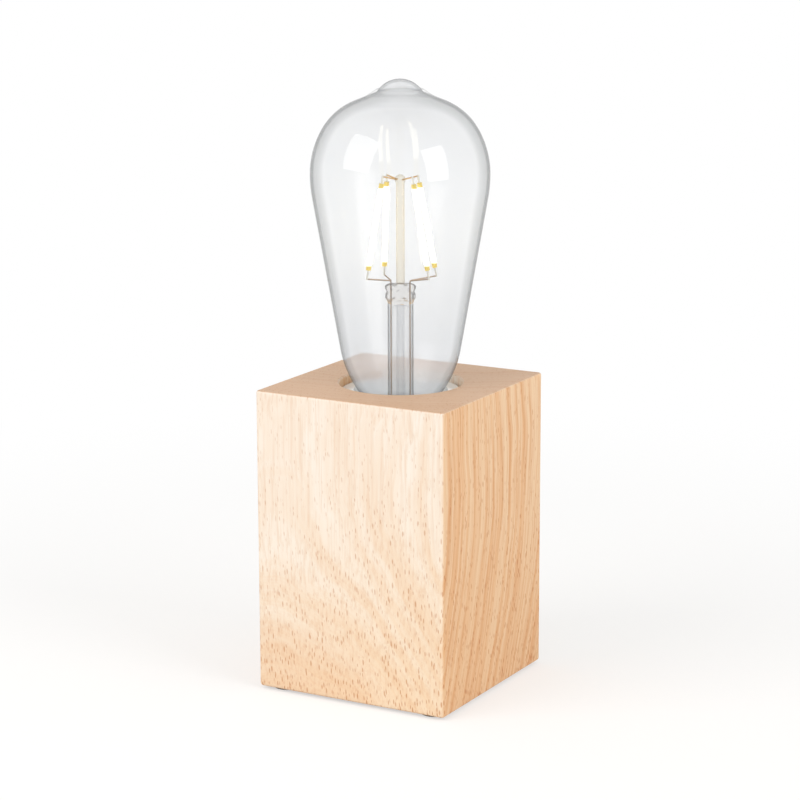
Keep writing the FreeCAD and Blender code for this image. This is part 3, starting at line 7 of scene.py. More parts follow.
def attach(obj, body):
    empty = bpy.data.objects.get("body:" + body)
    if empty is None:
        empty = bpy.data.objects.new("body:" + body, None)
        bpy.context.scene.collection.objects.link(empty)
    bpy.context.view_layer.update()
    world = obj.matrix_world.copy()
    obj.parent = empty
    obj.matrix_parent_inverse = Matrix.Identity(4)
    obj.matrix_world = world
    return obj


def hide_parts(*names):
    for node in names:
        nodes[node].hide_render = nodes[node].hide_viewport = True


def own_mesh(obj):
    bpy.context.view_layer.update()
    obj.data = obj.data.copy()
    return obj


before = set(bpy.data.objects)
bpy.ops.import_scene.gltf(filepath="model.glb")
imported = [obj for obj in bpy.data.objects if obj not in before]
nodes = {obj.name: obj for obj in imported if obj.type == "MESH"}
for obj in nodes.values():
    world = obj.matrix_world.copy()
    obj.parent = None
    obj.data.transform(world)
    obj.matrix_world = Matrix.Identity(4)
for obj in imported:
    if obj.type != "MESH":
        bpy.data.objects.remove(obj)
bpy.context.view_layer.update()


# ---------------------------------------------------------------------------
# The studio: a white sweep of paper, one broad soft lamp high on the left, a weaker
# one on the right, and the camera. Class Wire writes out a finish's sums as nodes.
class Wire:
    """One socket of a finish. Sums on it add Math nodes."""

    def __init__(self, finish, node, socket):
        self.finish = finish
        self.made = node
        self.socket = socket

    def other(self, name):
        return Wire(self.finish, self.made, self.made.outputs[name])

    def sum(self, operation, first, second=0.0):
        return self.finish.node("Math", [first, second], operation=operation)

    def __add__(self, value):
        return self.sum("ADD", self, value)

    def __sub__(self, value):
        return self.sum("SUBTRACT", self, value)

    def __mul__(self, value):
        return self.sum("MULTIPLY", self, value)

    def __pow__(self, value):
        return self.sum("POWER", self, value)

    __radd__ = __add__
    __rmul__ = __mul__

    def __rsub__(self, value):
        return self.sum("SUBTRACT", value, self)


class Finish:
    """A material and the one method that adds nodes to it."""

    def __init__(self, name, tree=None):
        if tree is None:
            self.material = bpy.data.materials.new(name)
            self.material.use_nodes = True
            tree = self.material.node_tree
        self.tree = tree
        self.tree.nodes.clear()

    def node(self, kind, inputs=(), output=0, stops=None, **settings):
        made = self.tree.nodes.new("ShaderNode" + kind)
        for name, value in settings.items():
            setattr(made, name, value)
        if stops:
            ends = made.color_ramp.elements
            ends[0].position, ends[1].position = stops[0][0], stops[-1][0]
            for place, colour in stops[1:-1]:
                ends.new(place)
            for element, (place, colour) in zip(ends, stops):
                element.color = (*colour, 1.0)
        pairs = inputs.items() if isinstance(inputs, dict) else enumerate(inputs)
        for key, value in pairs:
            if isinstance(value, Wire):
                self.tree.links.new(value.socket, made.inputs[key])
            else:
                made.inputs[key].default_value = value
        return Wire(self, made, made.outputs[output])

    def mix(self, share, first, second, how="MIX"):
        """Two colours mixed by share."""
        sockets = {0: share, 6: first, 7: second}
        return self.node("Mix", sockets, 2, data_type="RGBA", blend_type=how)

    def between(self, value, low, high):
        """0 below low, 1 above high and smooth in between."""
        sockets = {"Value": value, "From Min": low, "From Max": high}
        return self.node("MapRange", sockets, interpolation_type="SMOOTHSTEP")

    def done(self, shader, world_tree=False):
        kind = "World" if world_tree else "Material"
        output = self.tree.nodes.new("ShaderNodeOutput" + kind)
        self.tree.links.new(shader.socket, output.inputs["Surface"])


def rgb(red, green, blue):
    """A colour as a paint chart gives it, 0 to 255, as the light it sends back."""
    light = []
    for part in (red, green, blue):
        part /= 255
        light.append(part / 12.92 if part <= 0.04045 else ((part + 0.055) / 1.055) ** 2.4)
    return (*light, 1.0)


studio = bpy.context.scene
paper = Finish("white_paper")
white = (1.0, 1.0, 1.0, 1.0)
from_camera = paper.node("LightPath", output="Is Camera Ray")
matt = paper.node("BsdfDiffuse", {"Color": rgb(232, 232, 232)})
mirrored = paper.node("Emission", {"Color": white, "Strength": 1.0})
shaded = paper.node("BsdfDiffuse", {"Color": (0.48, 0.48, 0.48, 1.0)})
lift = paper.node("Emission", {"Color": white, "Strength": 0.54})
near = paper.node("AddShader", [shaded, lift])
where = paper.node("TexCoord", output="Object")
distance = paper.between(paper.node("VectorMath", [where], "Value", operation="LENGTH"), 0.12, 0.45)
seen = paper.node("MixShader", [distance, near, mirrored])
sent_back = from_camera.other("Is Glossy Ray") + from_camera.other("Is Transmission Ray")
other_rays = paper.node("MixShader", [sent_back, matt, mirrored])
paper.done(paper.node("MixShader", [from_camera, other_rays, seen]))

floor_mesh = bpy.data.meshes.new("floor")
reach = 6.0
corners = [(-reach, -reach, 0.0), (reach, -reach, 0.0), (reach, reach, 0.0), (-reach, reach, 0.0)]
floor_mesh.from_pydata(corners, [], [(0, 1, 2, 3)])
floor_mesh.materials.append(paper.material)
floor = bpy.data.objects.new("floor", floor_mesh)
studio.collection.objects.link(floor)

studio.world = bpy.data.worlds.new("studio")
studio.world.use_nodes = True
air = Finish("studio", studio.world.node_tree)
ray = air.node("LightPath", output="Is Camera Ray")
white_seen = ray + ray.other("Is Glossy Ray") + ray.other("Is Transmission Ray")
fill = air.node("Background", {"Color": (1.0, 0.99, 0.97, 1.0), "Strength": 0.64})
backdrop = air.node("Background", {"Color": (1.0, 1.0, 1.0, 1.0), "Strength": 1.0})
air.done(air.node("MixShader", [white_seen, fill, backdrop]), world_tree=True)


def softbox(name, place, aim, width, height, watts, colour):
    lamp = bpy.data.lights.new(name, "AREA")
    lamp.shape = "RECTANGLE"
    lamp.size = width
    lamp.size_y = height
    lamp.energy = watts
    lamp.color = colour
    holder = bpy.data.objects.new(name, lamp)
    studio.collection.objects.link(holder)
    holder.location = place
    holder.rotation_euler = (Vector(aim) - Vector(place)).to_track_quat("-Z", "Y").to_euler()


softbox("key_lamp", (-0.55, -0.95, 0.75), (0, 0, 0.08), 0.9, 0.9, 6.8, (1.0, 0.98, 0.95))
softbox("side_lamp", (1.2, -0.25, 0.55), (0, 0, 0.08), 0.7, 0.9, 6.5, (1.0, 0.97, 0.93))

camera = bpy.data.cameras.new("camera")
camera.sensor_width = 36.0
camera.lens = 123.3
camera.clip_start = 0.05
camera.clip_end = 50.0
tripod = bpy.data.objects.new("camera", camera)
studio.collection.objects.link(tripod)
turn = math.radians(29.29)
tilt = math.radians(12.83)
lean = math.radians(-0.17)
aim_side, aim_height, view_distance = -0.00029, 0.10407, 0.9884
away = Vector((math.sin(turn) * math.cos(tilt), -math.cos(turn) * math.cos(tilt), math.sin(tilt)))
aim = Vector((math.cos(turn), math.sin(turn), 0.0)) * aim_side + Vector((0, 0, aim_height))
looks = (-away).to_track_quat("-Z", "Y").to_matrix() @ Matrix.Rotation(lean, 3, "Z")
tripod.location = aim + away * view_distance
tripod.rotation_euler = looks.to_euler()
studio.camera = tripod
studio.view_settings.view_transform = "Standard"
studio.cycles.transparent_max_bounces = 32


def dress(name, finish):
    """The finish takes the place of a CAD node's plain colour."""
    mesh = nodes[name].data
    mesh.materials.clear()
    mesh.materials.append(finish.material)


felt = Finish("felt")
place = felt.node("TexCoord", output="Object")
hairs = felt.node("TexNoise", {"Vector": place, "Scale": 2600.0, "Detail": 3.0})
clumps = felt.node("TexNoise", {"Vector": place, "Scale": 500.0, "Detail": 2.0})
colour = felt.mix(hairs * 0.7 + clumps * 0.3, rgb(70, 64, 58), rgb(132, 122, 110))
raised = felt.node("Bump", {"Height": hairs, "Strength": 0.6, "Distance": 0.0003})
felt.done(felt.node("BsdfPrincipled", {
    "Base Color": colour, "Roughness": 0.95, "Normal": raised, "Sheen Weight": 0.4}))
dress("felt_pads", felt)


# ---------------------------------------------------------------------------
# Wood block: one piece of pale rubberwood, sawn so that the pith lies far behind
# the front face and leans back towards the foot. It is planed, its edges are eased
# and it has a thin matt lacquer. The grain is a solid one, the same on every face.
wood = Finish("light_wood")
place = wood.node("TexCoord", output="Object")
axes = wood.node("SeparateXYZ", [place])
x, y, z = axes, axes.other("Y"), axes.other("Z")
drift = wood.node("TexNoise", {"Vector": place, "Scale": 24.0, "Detail": 2.0})
wander = wood.node("TexNoise", {
    "Vector": wood.node("Mapping", {"Vector": place, "Scale": (60.0, 60.0, 14.0)}),
    "Scale": 1.0, "Detail": 2.0})
# how far the pith lies behind the front face, in metres, at height z
depth = 0.120 + z * 0.42 - z * z * 2.4
across = x + 0.030 + (wander - 0.5) * 0.004
behind = y + 0.038 - depth + (drift - 0.5) * 0.006
radius = (across * across + behind * behind) ** 0.5

rings = wood.node("TexNoise", {
    "Vector": wood.node("CombineXYZ", [radius * 260.0, 0.0, z * 3.0]),
    "Scale": 1.0, "Detail": 4.0, "Roughness": 0.7})
bands = wood.between(rings, 0.42, 0.62)
streaks = wood.node("TexNoise", {
    "Vector": wood.node("CombineXYZ", [across * 900.0, behind * 900.0, z * 18.0]),
    "Scale": 1.0, "Detail": 4.0, "Roughness": 0.65})
fibres = wood.node("TexNoise", {
    "Vector": wood.node("CombineXYZ", [across * 3200.0, behind * 3200.0, z * 160.0]),
    "Scale": 1.0, "Detail": 2.0})

# the wood is darker towards the foot and the right, and has more open pores there
deep = wood.between(z * -9.0 + x * 3.0 + (rings - 0.5) * 0.9, -0.95, 0.25)
cells = wood.node("TexVoronoi", {
    "Vector": wood.node("CombineXYZ", [
        (across + z * 0.05) * 1250.0, y * 1250.0, (z + wander * 0.002) * 290.0]),
    "Scale": 1.0, "Randomness": 1.0}, "Distance")
pick = wood.node("SeparateColor", [cells.other("Color")])
mouth = 0.24 + pick * 0.20
rare = 0.50 - deep * 0.5
pores = (1 - wood.between(cells, mouth * 0.5, mouth)) * wood.between(
    pick.other("Green"), rare, rare + 0.3)

# the faces are told apart by their direction: the quarter-sawn sides keep the wood's honey colour,
# while the front and back are painted paler and whiter as painted light, the key lamp's glare and
# sheen on them; the end grain on top is darker tan
way = wood.node("SeparateXYZ", [wood.node("TexCoord", output="Normal")])
quarter_sawn_and_painted_light = wood.between(way * way, 0.1, 0.9)
end = wood.between(way.other("Z") * way.other("Z"), 0.1, 0.9)
painted_lit_face = wood.mix(deep, rgb(250, 240, 228), rgb(248, 222, 190))
side = wood.mix(deep, rgb(238, 206, 170), rgb(233, 194, 152))
cut = wood.mix(streaks, rgb(206, 170, 140), rgb(228, 196, 166))
colour = wood.mix(end, wood.mix(quarter_sawn_and_painted_light, painted_lit_face, side), cut)
colour = wood.mix(bands * (quarter_sawn_and_painted_light * 0.35 + 0.22), colour, rgb(240, 208, 172), "MULTIPLY")
# one growth ring is cut through near the foot and shows as a warm arch
left, low = (x + 0.040) * 20.0, z * 37.0
arch = (left * left + low * low) ** 0.5 + (rings - 0.5) * 0.35
arch = 1 - wood.between(arch, 0.90, 1.12)
colour = wood.mix(arch * (1 - quarter_sawn_and_painted_light) * 0.20, colour, rgb(238, 202, 160), "MULTIPLY")
lines = wood.between(streaks, 0.42, 0.70)
colour = wood.mix(lines * (quarter_sawn_and_painted_light * 0.30 + 0.28), colour, rgb(226, 186, 142), "MULTIPLY")
colour = wood.mix(pores * (deep * 0.20 + 0.46), colour, rgb(206, 150, 100), "MULTIPLY")
height = fibres * 0.25 + streaks * 0.3 - pores * 0.4
relief = wood.node("Bump", {"Height": height, "Strength": 0.35, "Distance": 0.0002})
wood.done(wood.node("BsdfPrincipled", {
    "Base Color": colour, "Roughness": pores * 0.2 + 0.5, "Normal": relief,
    "Specular IOR Level": 0.35}))
dress("wood_block", wood)


# ---------------------------------------------------------------------------
# Cord bush: a flanged sleeve of black moulded plastic pressed into the hole in the
# back, with a fine spark-eroded texture. It keeps the cord off the wood.
plastic = Finish("black_plastic")
place = plastic.node("TexCoord", output="Object")
eroded = plastic.node("TexNoise", {"Vector": place, "Scale": 3500.0, "Detail": 3.0})
shade = plastic.node("TexNoise", {"Vector": place, "Scale": 160.0, "Detail": 2.0})
colour = plastic.mix(shade, (0.012, 0.012, 0.013, 1.0), (0.024, 0.024, 0.025, 1.0))
relief = plastic.node("Bump", {"Height": eroded, "Strength": 0.3, "Distance": 0.0001})
plastic.done(plastic.node("BsdfPrincipled", {
    "Base Color": colour, "Roughness": eroded * 0.2 + 0.38, "Normal": relief}))
dress("cord_bush", plastic)


# ---------------------------------------------------------------------------
# Cover plate: a disc of black fibreboard let into the underside over the wiring,
# held by three countersunk zinc-plated screws.
board = Finish("cover_board")
place = board.node("TexCoord", output="Object")
pulp = board.node("TexNoise", {"Vector": place, "Scale": 900.0, "Detail": 4.0})
flecks = board.node("TexNoise", {"Vector": place, "Scale": 2400.0, "Detail": 2.0})
colour = board.mix(pulp, rgb(34, 31, 29), rgb(66, 60, 55))
colour = board.mix(board.between(flecks, 0.62, 0.72) * 0.5, colour, rgb(104, 96, 86))
relief = board.node("Bump", {"Height": pulp, "Strength": 0.4, "Distance": 0.0002})
board.done(board.node("BsdfPrincipled", {
    "Base Color": colour, "Roughness": pulp * 0.2 + 0.7, "Normal": relief}))
dress("cover_plate", board)


def metal(name, dark, light, rough):
    """A worked metal: fine marks of the tool, and duller patches."""
    finish = Finish(name)
    place = finish.node("TexCoord", output="Object")
    marks = finish.node("TexNoise", {"Vector": place, "Scale": 900.0, "Detail": 3.0})
    patches = finish.node("TexNoise", {"Vector": place, "Scale": 130.0, "Detail": 3.0})
    colour = finish.mix(patches, dark, light)
    relief = finish.node("Bump", {"Height": marks, "Strength": 0.25, "Distance": 0.00005})
    finish.done(finish.node("BsdfPrincipled", {
        "Base Color": colour, "Metallic": 1.0, "Normal": relief,
        "Roughness": patches * 0.12 + marks * 0.1 + rough}))
    return finish


zinc = metal("zinc_steel", (0.50, 0.51, 0.53, 1.0), (0.72, 0.73, 0.75, 1.0), 0.22)
for name in ("cover_screws", "threaded_tube", "tube_washer", "lower_tube_nut",
             "upper_tube_nut", "holder_bracket", "bracket_screws"):
    dress(name, zinc)


# ---------------------------------------------------------------------------
# Holder body: turned and pressed porcelain with a clear glaze, let into the block.
# A zinc-plated bracket and two screws hold it to the threaded tube.
china = Finish("porcelain")
place = china.node("TexCoord", output="Object")
ripple = china.node("TexNoise", {"Vector": place, "Scale": 90.0, "Detail": 2.0})
specks = china.node("TexNoise", {"Vector": place, "Scale": 1500.0, "Detail": 1.0})
colour = china.mix(ripple, rgb(238, 239, 236), rgb(248, 248, 246))
colour = china.mix(china.between(specks, 0.74, 0.80) * 0.35, colour, rgb(200, 192, 176))
relief = china.node("Bump", {"Height": ripple, "Strength": 0.2, "Distance": 0.0004})
china.done(china.node("BsdfPrincipled", {
    "Base Color": colour, "Roughness": ripple * 0.06 + 0.10, "Normal": relief,
    "Coat Weight": 0.6, "Coat Roughness": 0.04}))
dress("holder_body", china)


# ---------------------------------------------------------------------------
# Contacts of the holder: a rolled brass shell, riveted in, a spring of steel wire
# under the middle contact, a strip of brass and two terminals with brass screws.
brass = metal("brass", (0.62, 0.43, 0.15, 1.0), (0.86, 0.64, 0.28, 1.0), 0.18)
for name in ("shell_rivets", "neutral_rivet", "live_rivet", "contact_strip",
             "neutral_terminal", "live_terminal", "connector_barrels", "contact_plunger"):
    dress(name, brass)
nickelled = metal("nickelled_brass", (0.56, 0.53, 0.47, 1.0), (0.78, 0.75, 0.68, 1.0), 0.16)
dress("screw_shell", nickelled)
dress("cap_contact", nickelled)
steel = metal("spring_steel", (0.42, 0.42, 0.44, 1.0), (0.64, 0.64, 0.66, 1.0), 0.20)
dress("contact_spring", steel)
# the spring gets its own copy of the mesh, riding on the lamp base; the contact's whole play is 1.5
# mm
spring = bpy.data.objects.new("coil_spring", nodes["contact_spring"].data.copy())
studio.collection.objects.link(spring)
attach(spring, "lamp_base")
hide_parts("contact_spring")
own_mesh(spring)
dress("plunger_clip", steel)
for name in ("terminal_screws", "connector_clamp_screws", "connector_screw"):
    dress(name, zinc)


# ---------------------------------------------------------------------------
# Connector and leads: a two-way block of white plastic, and two short leads of
# stranded copper in brown and blue plastic that run from it up to the terminals.
def moulded(name, dark, light, rough):
    """A moulded or drawn plastic: an even colour, slightly clouded, with a faint skin."""
    finish = Finish(name)
    place = finish.node("TexCoord", output="Object")
    cloud = finish.node("TexNoise", {"Vector": place, "Scale": 240.0, "Detail": 2.0})
    skin = finish.node("TexNoise", {"Vector": place, "Scale": 2200.0, "Detail": 2.0})
    relief = finish.node("Bump", {"Height": skin, "Strength": 0.2, "Distance": 0.00005})
    finish.done(finish.node("BsdfPrincipled", {
        "Base Color": finish.mix(cloud, dark, light), "Normal": relief,
        "Roughness": cloud * 0.12 + rough}))
    return finish


dress("connector_block", moulded("white_plastic", rgb(222, 221, 214), rgb(240, 239, 233), 0.36))
dress("live_lead", moulded("brown_insulation", rgb(86, 46, 26), rgb(104, 58, 34), 0.34))
dress("neutral_lead", moulded("blue_insulation", rgb(30, 82, 160), rgb(44, 98, 178), 0.34))
copper = metal("copper", (0.62, 0.27, 0.14, 1.0), (0.90, 0.50, 0.32, 1.0), 0.24)
dress("live_lead_core", copper)
dress("neutral_lead_core", copper)


# ---------------------------------------------------------------------------
# Cap of the bulb: a rolled aluminium thread, a black glass insulator round the
# middle contact, and a ring of cement that holds the neck of the glass.
dress("cap_shell", metal("cap_metal", (0.66, 0.66, 0.65, 1.0), (0.84, 0.84, 0.83, 1.0), 0.20))
vitrite = Finish("cap_glass")
place = vitrite.node("TexCoord", output="Object")
flow = vitrite.node("TexNoise", {"Vector": place, "Scale": 320.0, "Detail": 3.0})
colour = vitrite.mix(flow, (0.008, 0.007, 0.010, 1.0), (0.022, 0.018, 0.024, 1.0))
vitrite.done(vitrite.node("BsdfPrincipled", {
    "Base Color": colour, "Roughness": flow * 0.12 + 0.06}))
dress("cap_insulator", vitrite)
cement = Finish("cement")
place = cement.node("TexCoord", output="Object")
grit = cement.node("TexNoise", {"Vector": place, "Scale": 1700.0, "Detail": 4.0})
colour = cement.mix(grit, rgb(196, 186, 166), rgb(232, 226, 212))
relief = cement.node("Bump", {"Height": grit, "Strength": 0.6, "Distance": 0.0002})
cement.done(cement.node("BsdfPrincipled", {
    "Base Color": colour, "Roughness": grit * 0.1 + 0.8, "Normal": relief}))
dress("cap_cement", cement)


# ---------------------------------------------------------------------------
# Driver in the cap: a small round board with a capacitor, a resistor and a
# rectifier soldered to it, and two thin wires down to the cap.
dress("driver_board", moulded("circuit_board", rgb(214, 206, 178), rgb(232, 226, 204), 0.42))
component = moulded("component", (0.015, 0.015, 0.017, 1.0), (0.035, 0.034, 0.036, 1.0), 0.34)
for name in ("driver_capacitor", "driver_resistor", "driver_rectifier"):
    dress(name, component)
wire = metal("wire_metal", (0.30, 0.20, 0.13, 1.0), (0.52, 0.40, 0.30, 1.0), 0.26)
for name in ("live_feed_wire", "neutral_feed_wire", "left_lead_in_wire",
             "right_lead_in_wire", "left_branch_wire", "right_branch_wire"):
    dress(name, wire)
# the upper support wires are golden brown
dress("upper_support_wires", metal(
    "golden_wire", (0.52, 0.28, 0.09, 1.0), (0.78, 0.50, 0.20, 1.0), 0.26))


# ---------------------------------------------------------------------------
# Glass envelope: blown clear soda glass, 0.8 mm thick, drawn to a tip at the top
# where it was closed. Towards its outline a grey is painted in by the slant of the look, as painted
# shade, and its far wall gets a painted reflection of the white room, with a faint painted glow,
# over what lies behind it.
cap_seat = 0.077
wall = 0.0008
neck_radius, neck_foot, neck_blend = 0.0113, 0.017, 0.004
foot_arc, foot_height, foot_radius = 0.037, 0.0458, 0.021594
taper = math.radians(10)
waist_arc, belly = 0.049, 0.032
shoulder, shoulder_arc, crown = math.radians(30), 0.023, math.radians(68)
tip_radius, tip_blend, tip_rise = 0.0095, 0.002, 0.0013


def arc(centre, radius, start, end, steps):
    """Points (radius, height, outward angle) of a curve about centre."""
    points = []
    for step in range(1, steps + 1):
        angle = start + (end - start) * step / steps
        r = centre[0] + radius * math.cos(angle)
        v = centre[1] + radius * math.sin(angle)
        points.append((r, v, angle if radius > 0 else angle + math.pi))
    return points


waist_r = belly - waist_arc * (1 - math.cos(taper))
waist_v = foot_height + (waist_r - foot_radius) / math.tan(taper)
widest_v = waist_v + waist_arc * math.sin(taper)
hollow_r = neck_radius + neck_blend
join = math.acos((hollow_r - foot_radius + foot_arc * math.cos(taper)) / (foot_arc + neck_blend))
foot_centre = (foot_radius - foot_arc * math.cos(taper), foot_height + foot_arc * math.sin(taper))
neck_v = foot_centre[1] - (foot_arc + neck_blend) * math.sin(join)
shoulder_centre = ((belly - shoulder_arc) * math.cos(shoulder),
                   widest_v + (belly - shoulder_arc) * math.sin(shoulder))
crown_r = shoulder_centre[0] + shoulder_arc * math.cos(crown)
crown_v = shoulder_centre[1] + shoulder_arc * math.sin(crown)
apex_v = crown_v + crown_r / math.tan(crown)
ball_v = apex_v + tip_rise - tip_radius
lift = (apex_v - ball_v) * math.sin(crown) + tip_blend
along = math.sqrt((tip_radius + tip_blend) ** 2 - lift ** 2)
blend_centre = (lift * math.cos(crown) + along * math.sin(crown),
                ball_v + lift * math.sin(crown) - along * math.cos(crown))
tip_turn = math.atan2(blend_centre[1] - ball_v, blend_centre[0])
profile = [(0.0, ball_v + tip_radius, math.pi / 2)]
profile += arc((0.0, ball_v), tip_radius, math.pi / 2, tip_turn, 16)
profile += arc(blend_centre, -tip_blend, tip_turn, crown, 10)
profile += [(crown_r, crown_v, crown)]
profile += arc(shoulder_centre, shoulder_arc, crown, shoulder, 16)
profile += arc((0.0, widest_v), belly, shoulder, 0.0, 20)
profile += arc((belly - waist_arc, widest_v), waist_arc, 0.0, -taper, 8)
profile += [(foot_radius, foot_height, -taper)]
profile += arc(foot_centre, foot_arc, -taper, -join, 20)
profile += arc((hollow_r, neck_v), -neck_blend, -join, 0.0, 8)
profile += [(neck_radius, neck_foot, 0.0)]


def turned(name, rows, finishes, around):
    """A turned piece from rows of (radius, height, finish number). An oval row has
    (half width, half depth, swell) for its radius."""
    points, faces, kinds = [], [], []
    ends = []
    for r, v, kind in rows:
        if r == 0.0:
            ends.append([len(points)] * around)
            points.append((0.0, 0.0, v))
            continue
        wide, deep, swell = r if isinstance(r, tuple) else (r, r, 0.0)
        ends.append([len(points) + step for step in range(around)])
        for step in range(around):
            angle = 2 * math.pi * step / around
            bulge = 1.0 + swell * (math.cos(angle) ** 4 - 0.6 * math.sin(2 * angle) ** 4)
            points.append((wide * math.cos(angle) * bulge, deep * math.sin(angle) * bulge, v))
    for high in range(1, len(rows)):
        low = high - 1
        for step in range(around):
            following = (step + 1) % around
            ring = [ends[low][step], ends[low][following], ends[high][following], ends[high][step]]
            corners = list(dict.fromkeys(ring))
            if len(corners) > 2:
                faces.append(corners[::-1])
                kinds.append(rows[high][2])
    mesh = bpy.data.meshes.new(name)
    mesh.from_pydata(points, [], faces)
    for finish in finishes:
        mesh.materials.append(finish.material)
    mesh.polygons.foreach_set("material_index", kinds)
    mesh.shade_smooth()
    piece = bpy.data.objects.new(name, mesh)
    studio.collection.objects.link(piece)
    return piece


def clear(name, painted_outline_grey, stops, painted_haze, tint=(1.0, 1.0, 1.0, 1.0)):
    """Clear glass. stops give how much grey, a painted shade, shows from a square look to a
    slanting one, and the haze pair gives how much of a painted reflection of the white room, with a
    faint painted glow, lies everywhere and how much more on the far wall.
    """
    finish = Finish(name)
    slant = finish.node("LayerWeight", {"Blend": 0.5}, "Facing")
    grey = [(place, (share, share, share)) for place, share in stops]
    share = finish.node("ValToRGB", [slant], stops=grey)
    through = finish.node("BsdfTransparent", {"Color": tint})
    gloss = finish.node("BsdfGlossy", {"Color": white, "Roughness": 0.04})
    # a painted reflection of the white room, with a faint painted glow, mostly on the far wall, the
    # faces seen from behind
    painted_room_reflection = finish.node("BsdfPrincipled", {
        "Base Color": rgb(234, 237, 242), "Roughness": 0.6,
        "Emission Color": (0.92, 0.96, 1.0, 1.0), "Emission Strength": 0.15})
    far = finish.node("NewGeometry", output="Backfacing")
    # a dark grey body, painted shade, shows towards the outline by the slant of the look
    body = finish.node("BsdfPrincipled", {"Base Color": painted_outline_grey, "Roughness": 0.1, "IOR": 1.3})
    glass = finish.node("MixShader", [far * painted_haze[1] + painted_haze[0], through, painted_room_reflection])
    glass = finish.node("MixShader", [slant ** 5 * 0.3 + 0.03, glass, gloss])
    finish.done(finish.node("MixShader", [share, glass, body]))
    return finish


outer_glass = clear("clear_glass", (0.10, 0.11, 0.11, 1.0), [
    (0.0, 0.012), (0.47, 0.022), (0.50, 0.05), (0.54, 0.10), (0.61, 0.16), (0.70, 0.22),
    (0.74, 0.31), (0.81, 0.58), (0.90, 0.74), (1.0, 0.70)], (0.04, 0.55))
inner_glass = clear("inner_glass", (0.12, 0.13, 0.13, 1.0), [
    (0.0, 0.0), (0.80, 0.0), (0.88, 0.14), (1.0, 0.42)], (0.0, 0.0))
outside = [(r, v, 0) for r, v, angle in profile]
inside = [(max(r - wall * math.cos(angle), 0.0), v - wall * math.sin(angle), 1)
          for r, v, angle in profile]
envelope = turned("bulb_glass", outside + inside[::-1], [outer_glass, inner_glass], 128)
envelope.location = (0.0, 0.0, cap_seat)
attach(envelope, "bulb")
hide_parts("glass_envelope")


# ---------------------------------------------------------------------------
# Stem: a flared glass tube with its top pinched flat round the lead-in wires, the
# thin exhaust tube inside it, and the glass post that carries the filaments.
stem_glass = clear("stem_glass", (0.10, 0.11, 0.11, 1.0), [
    (0.0, 0.015), (0.36, 0.03), (0.48, 0.20), (0.62, 0.46), (1.0, 0.60)], (0.03, 0.10))
stem_inside = clear("stem_inside", (0.16, 0.17, 0.17, 1.0), [
    (0.0, 0.01), (0.55, 0.03), (0.75, 0.14), (1.0, 0.30)], (0.0, 0.0))

# the pinched glass is lumpy, so its faces turn away and back: those that look
# sideways get a painted dark shade, and it is amber at its foot where it was flashed with the wires
pinched = Finish("pinched_glass")
place = pinched.node("TexCoord", output="Object")
lumps = pinched.node("TexNoise", {"Vector": place, "Scale": 460.0, "Detail": 0.0})
facets = pinched.node("Bump", {"Height": lumps, "Strength": 1.0, "Distance": 0.0013})
slant = pinched.node("LayerWeight", {"Blend": 0.5, "Normal": facets}, "Facing")
share = pinched.between(slant, 0.16, 0.50) * 0.58 + 0.08
level = pinched.node("SeparateXYZ", [place]).other("Z")
amber = 1 - pinched.between(level, 0.0622, 0.0655)
colour = pinched.mix(amber, (0.16, 0.15, 0.14, 1.0), (0.80, 0.52, 0.22, 1.0))
body = pinched.node("BsdfPrincipled", {"Base Color": colour, "Roughness": 0.08, "Normal": facets})
through = pinched.node("BsdfTransparent", {"Color": (1.0, 0.99, 0.98, 1.0)})
pinched.done(pinched.node("MixShader", [share, through, body]))

stem_radius, stem_wall, flare_rim = 0.00465, 0.0009, 0.01045
flare_foot, flare_top, hollow_top = 0.0178, 0.0308, 0.0618
flare_reach = flare_rim - stem_radius
flare_arc = (flare_reach ** 2 + (flare_top - flare_foot) ** 2) / (2 * flare_reach)
flare_end = math.asin((flare_top - flare_foot) / flare_arc)
press = [
    (0.0, 0.0698, 2), ((0.0042, 0.0014, 0.0), 0.0698, 2), ((0.0049, 0.0020, 0.0), 0.0695, 2),
    ((0.0053, 0.0024, 0.05), 0.0689, 2), ((0.0053, 0.0026, 0.035), 0.0680, 2),
    ((0.0050, 0.0025, 0.0), 0.0669, 2), ((0.0052, 0.0026, 0.04), 0.0658, 2),
    ((0.0052, 0.0027, 0.05), 0.0646, 2), ((0.0048, 0.0029, 0.0), 0.0635, 2),
    ((0.0046, 0.0036, 0.0), 0.0627, 2), (stem_radius, 0.0618, 0)]
flare = []
flare_inside = []
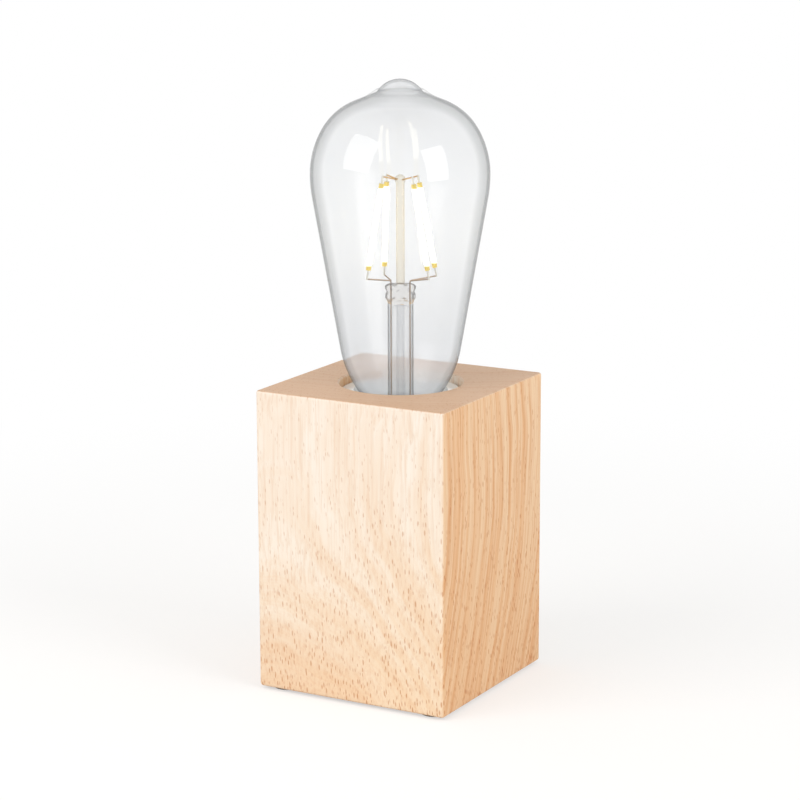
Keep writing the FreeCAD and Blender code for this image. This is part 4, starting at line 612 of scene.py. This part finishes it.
for step in range(13):
    angle = flare_end * step / 12
    centre = stem_radius + flare_arc
    flare.append((centre - flare_arc * math.cos(angle), flare_top - flare_arc * math.sin(angle), 0))
    inner_arc = flare_arc + stem_wall
    flare_inside.append((centre - inner_arc * math.cos(angle),
                         flare_top - inner_arc * math.sin(angle), 1))
bore = [(stem_radius - stem_wall, hollow_top - 0.0010, 1), (0.0028, hollow_top - 0.0003, 1),
        (0.0, hollow_top, 1)]
stem = turned("stem_and_press", press + flare + flare_inside[::-1] + bore,
              [stem_glass, stem_inside, pinched], 64)
stem.location = (0.0, 0.0, cap_seat)
stem.rotation_euler = (0.0, 0.0, math.radians(29.2))
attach(stem, "bulb")
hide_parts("stem")
tube_glass = clear("tube_glass", (0.16, 0.17, 0.17, 1.0), [
    (0.0, 0.03), (0.5, 0.07), (0.8, 0.16), (1.0, 0.22)], (0.0, 0.0))
dress("exhaust_tube", tube_glass)
# the post's amber outline and warm tint are painted glow, the filaments' light falling on it
post_glass_painted_glow = clear("post_glass_painted_glow", (0.55, 0.42, 0.22, 1.0), [
    (0.0, 0.10), (0.4, 0.16), (0.7, 0.42), (1.0, 0.55)], (0.0, 0.0), (1.0, 0.985, 0.94, 1.0))
dress("centre_post", post_glass_painted_glow)


# ---------------------------------------------------------------------------
# Filaments: four slim rods of light diodes under a yellow phosphor coating, which
# glow white in the middle. Stamped tabs at their ends are welded to the wires.
glow = Finish("phosphor")
place = glow.node("TexCoord", output="Object")
level = glow.node("SeparateXYZ", [place]).other("Z")
rod_middle, lit_half, lit_edge = 0.1675, 0.0132, 0.0142
from_middle = ((level - rod_middle) * (level - rod_middle)) ** 0.5
lit = 1 - glow.between(from_middle, lit_half, lit_edge)
grains = glow.node("TexNoise", {"Vector": place, "Scale": 1800.0, "Detail": 2.0})
colour = glow.mix(grains, rgb(236, 206, 84), rgb(246, 222, 112))
shine = glow.mix(lit, (0.02, 0.012, 0.001, 1.0), (1.0, 0.97, 0.90, 1.0))
glow.done(glow.node("BsdfPrincipled", {
    "Base Color": colour, "Roughness": grains * 0.1 + 0.5,
    "Emission Color": shine, "Emission Strength": 2.6}))
for number in range(1, 5):
    dress("filament_%d" % number, glow)
dress("filament_tabs", metal("tab_metal", (0.74, 0.71, 0.62, 1.0), (0.88, 0.86, 0.78, 1.0), 0.24))
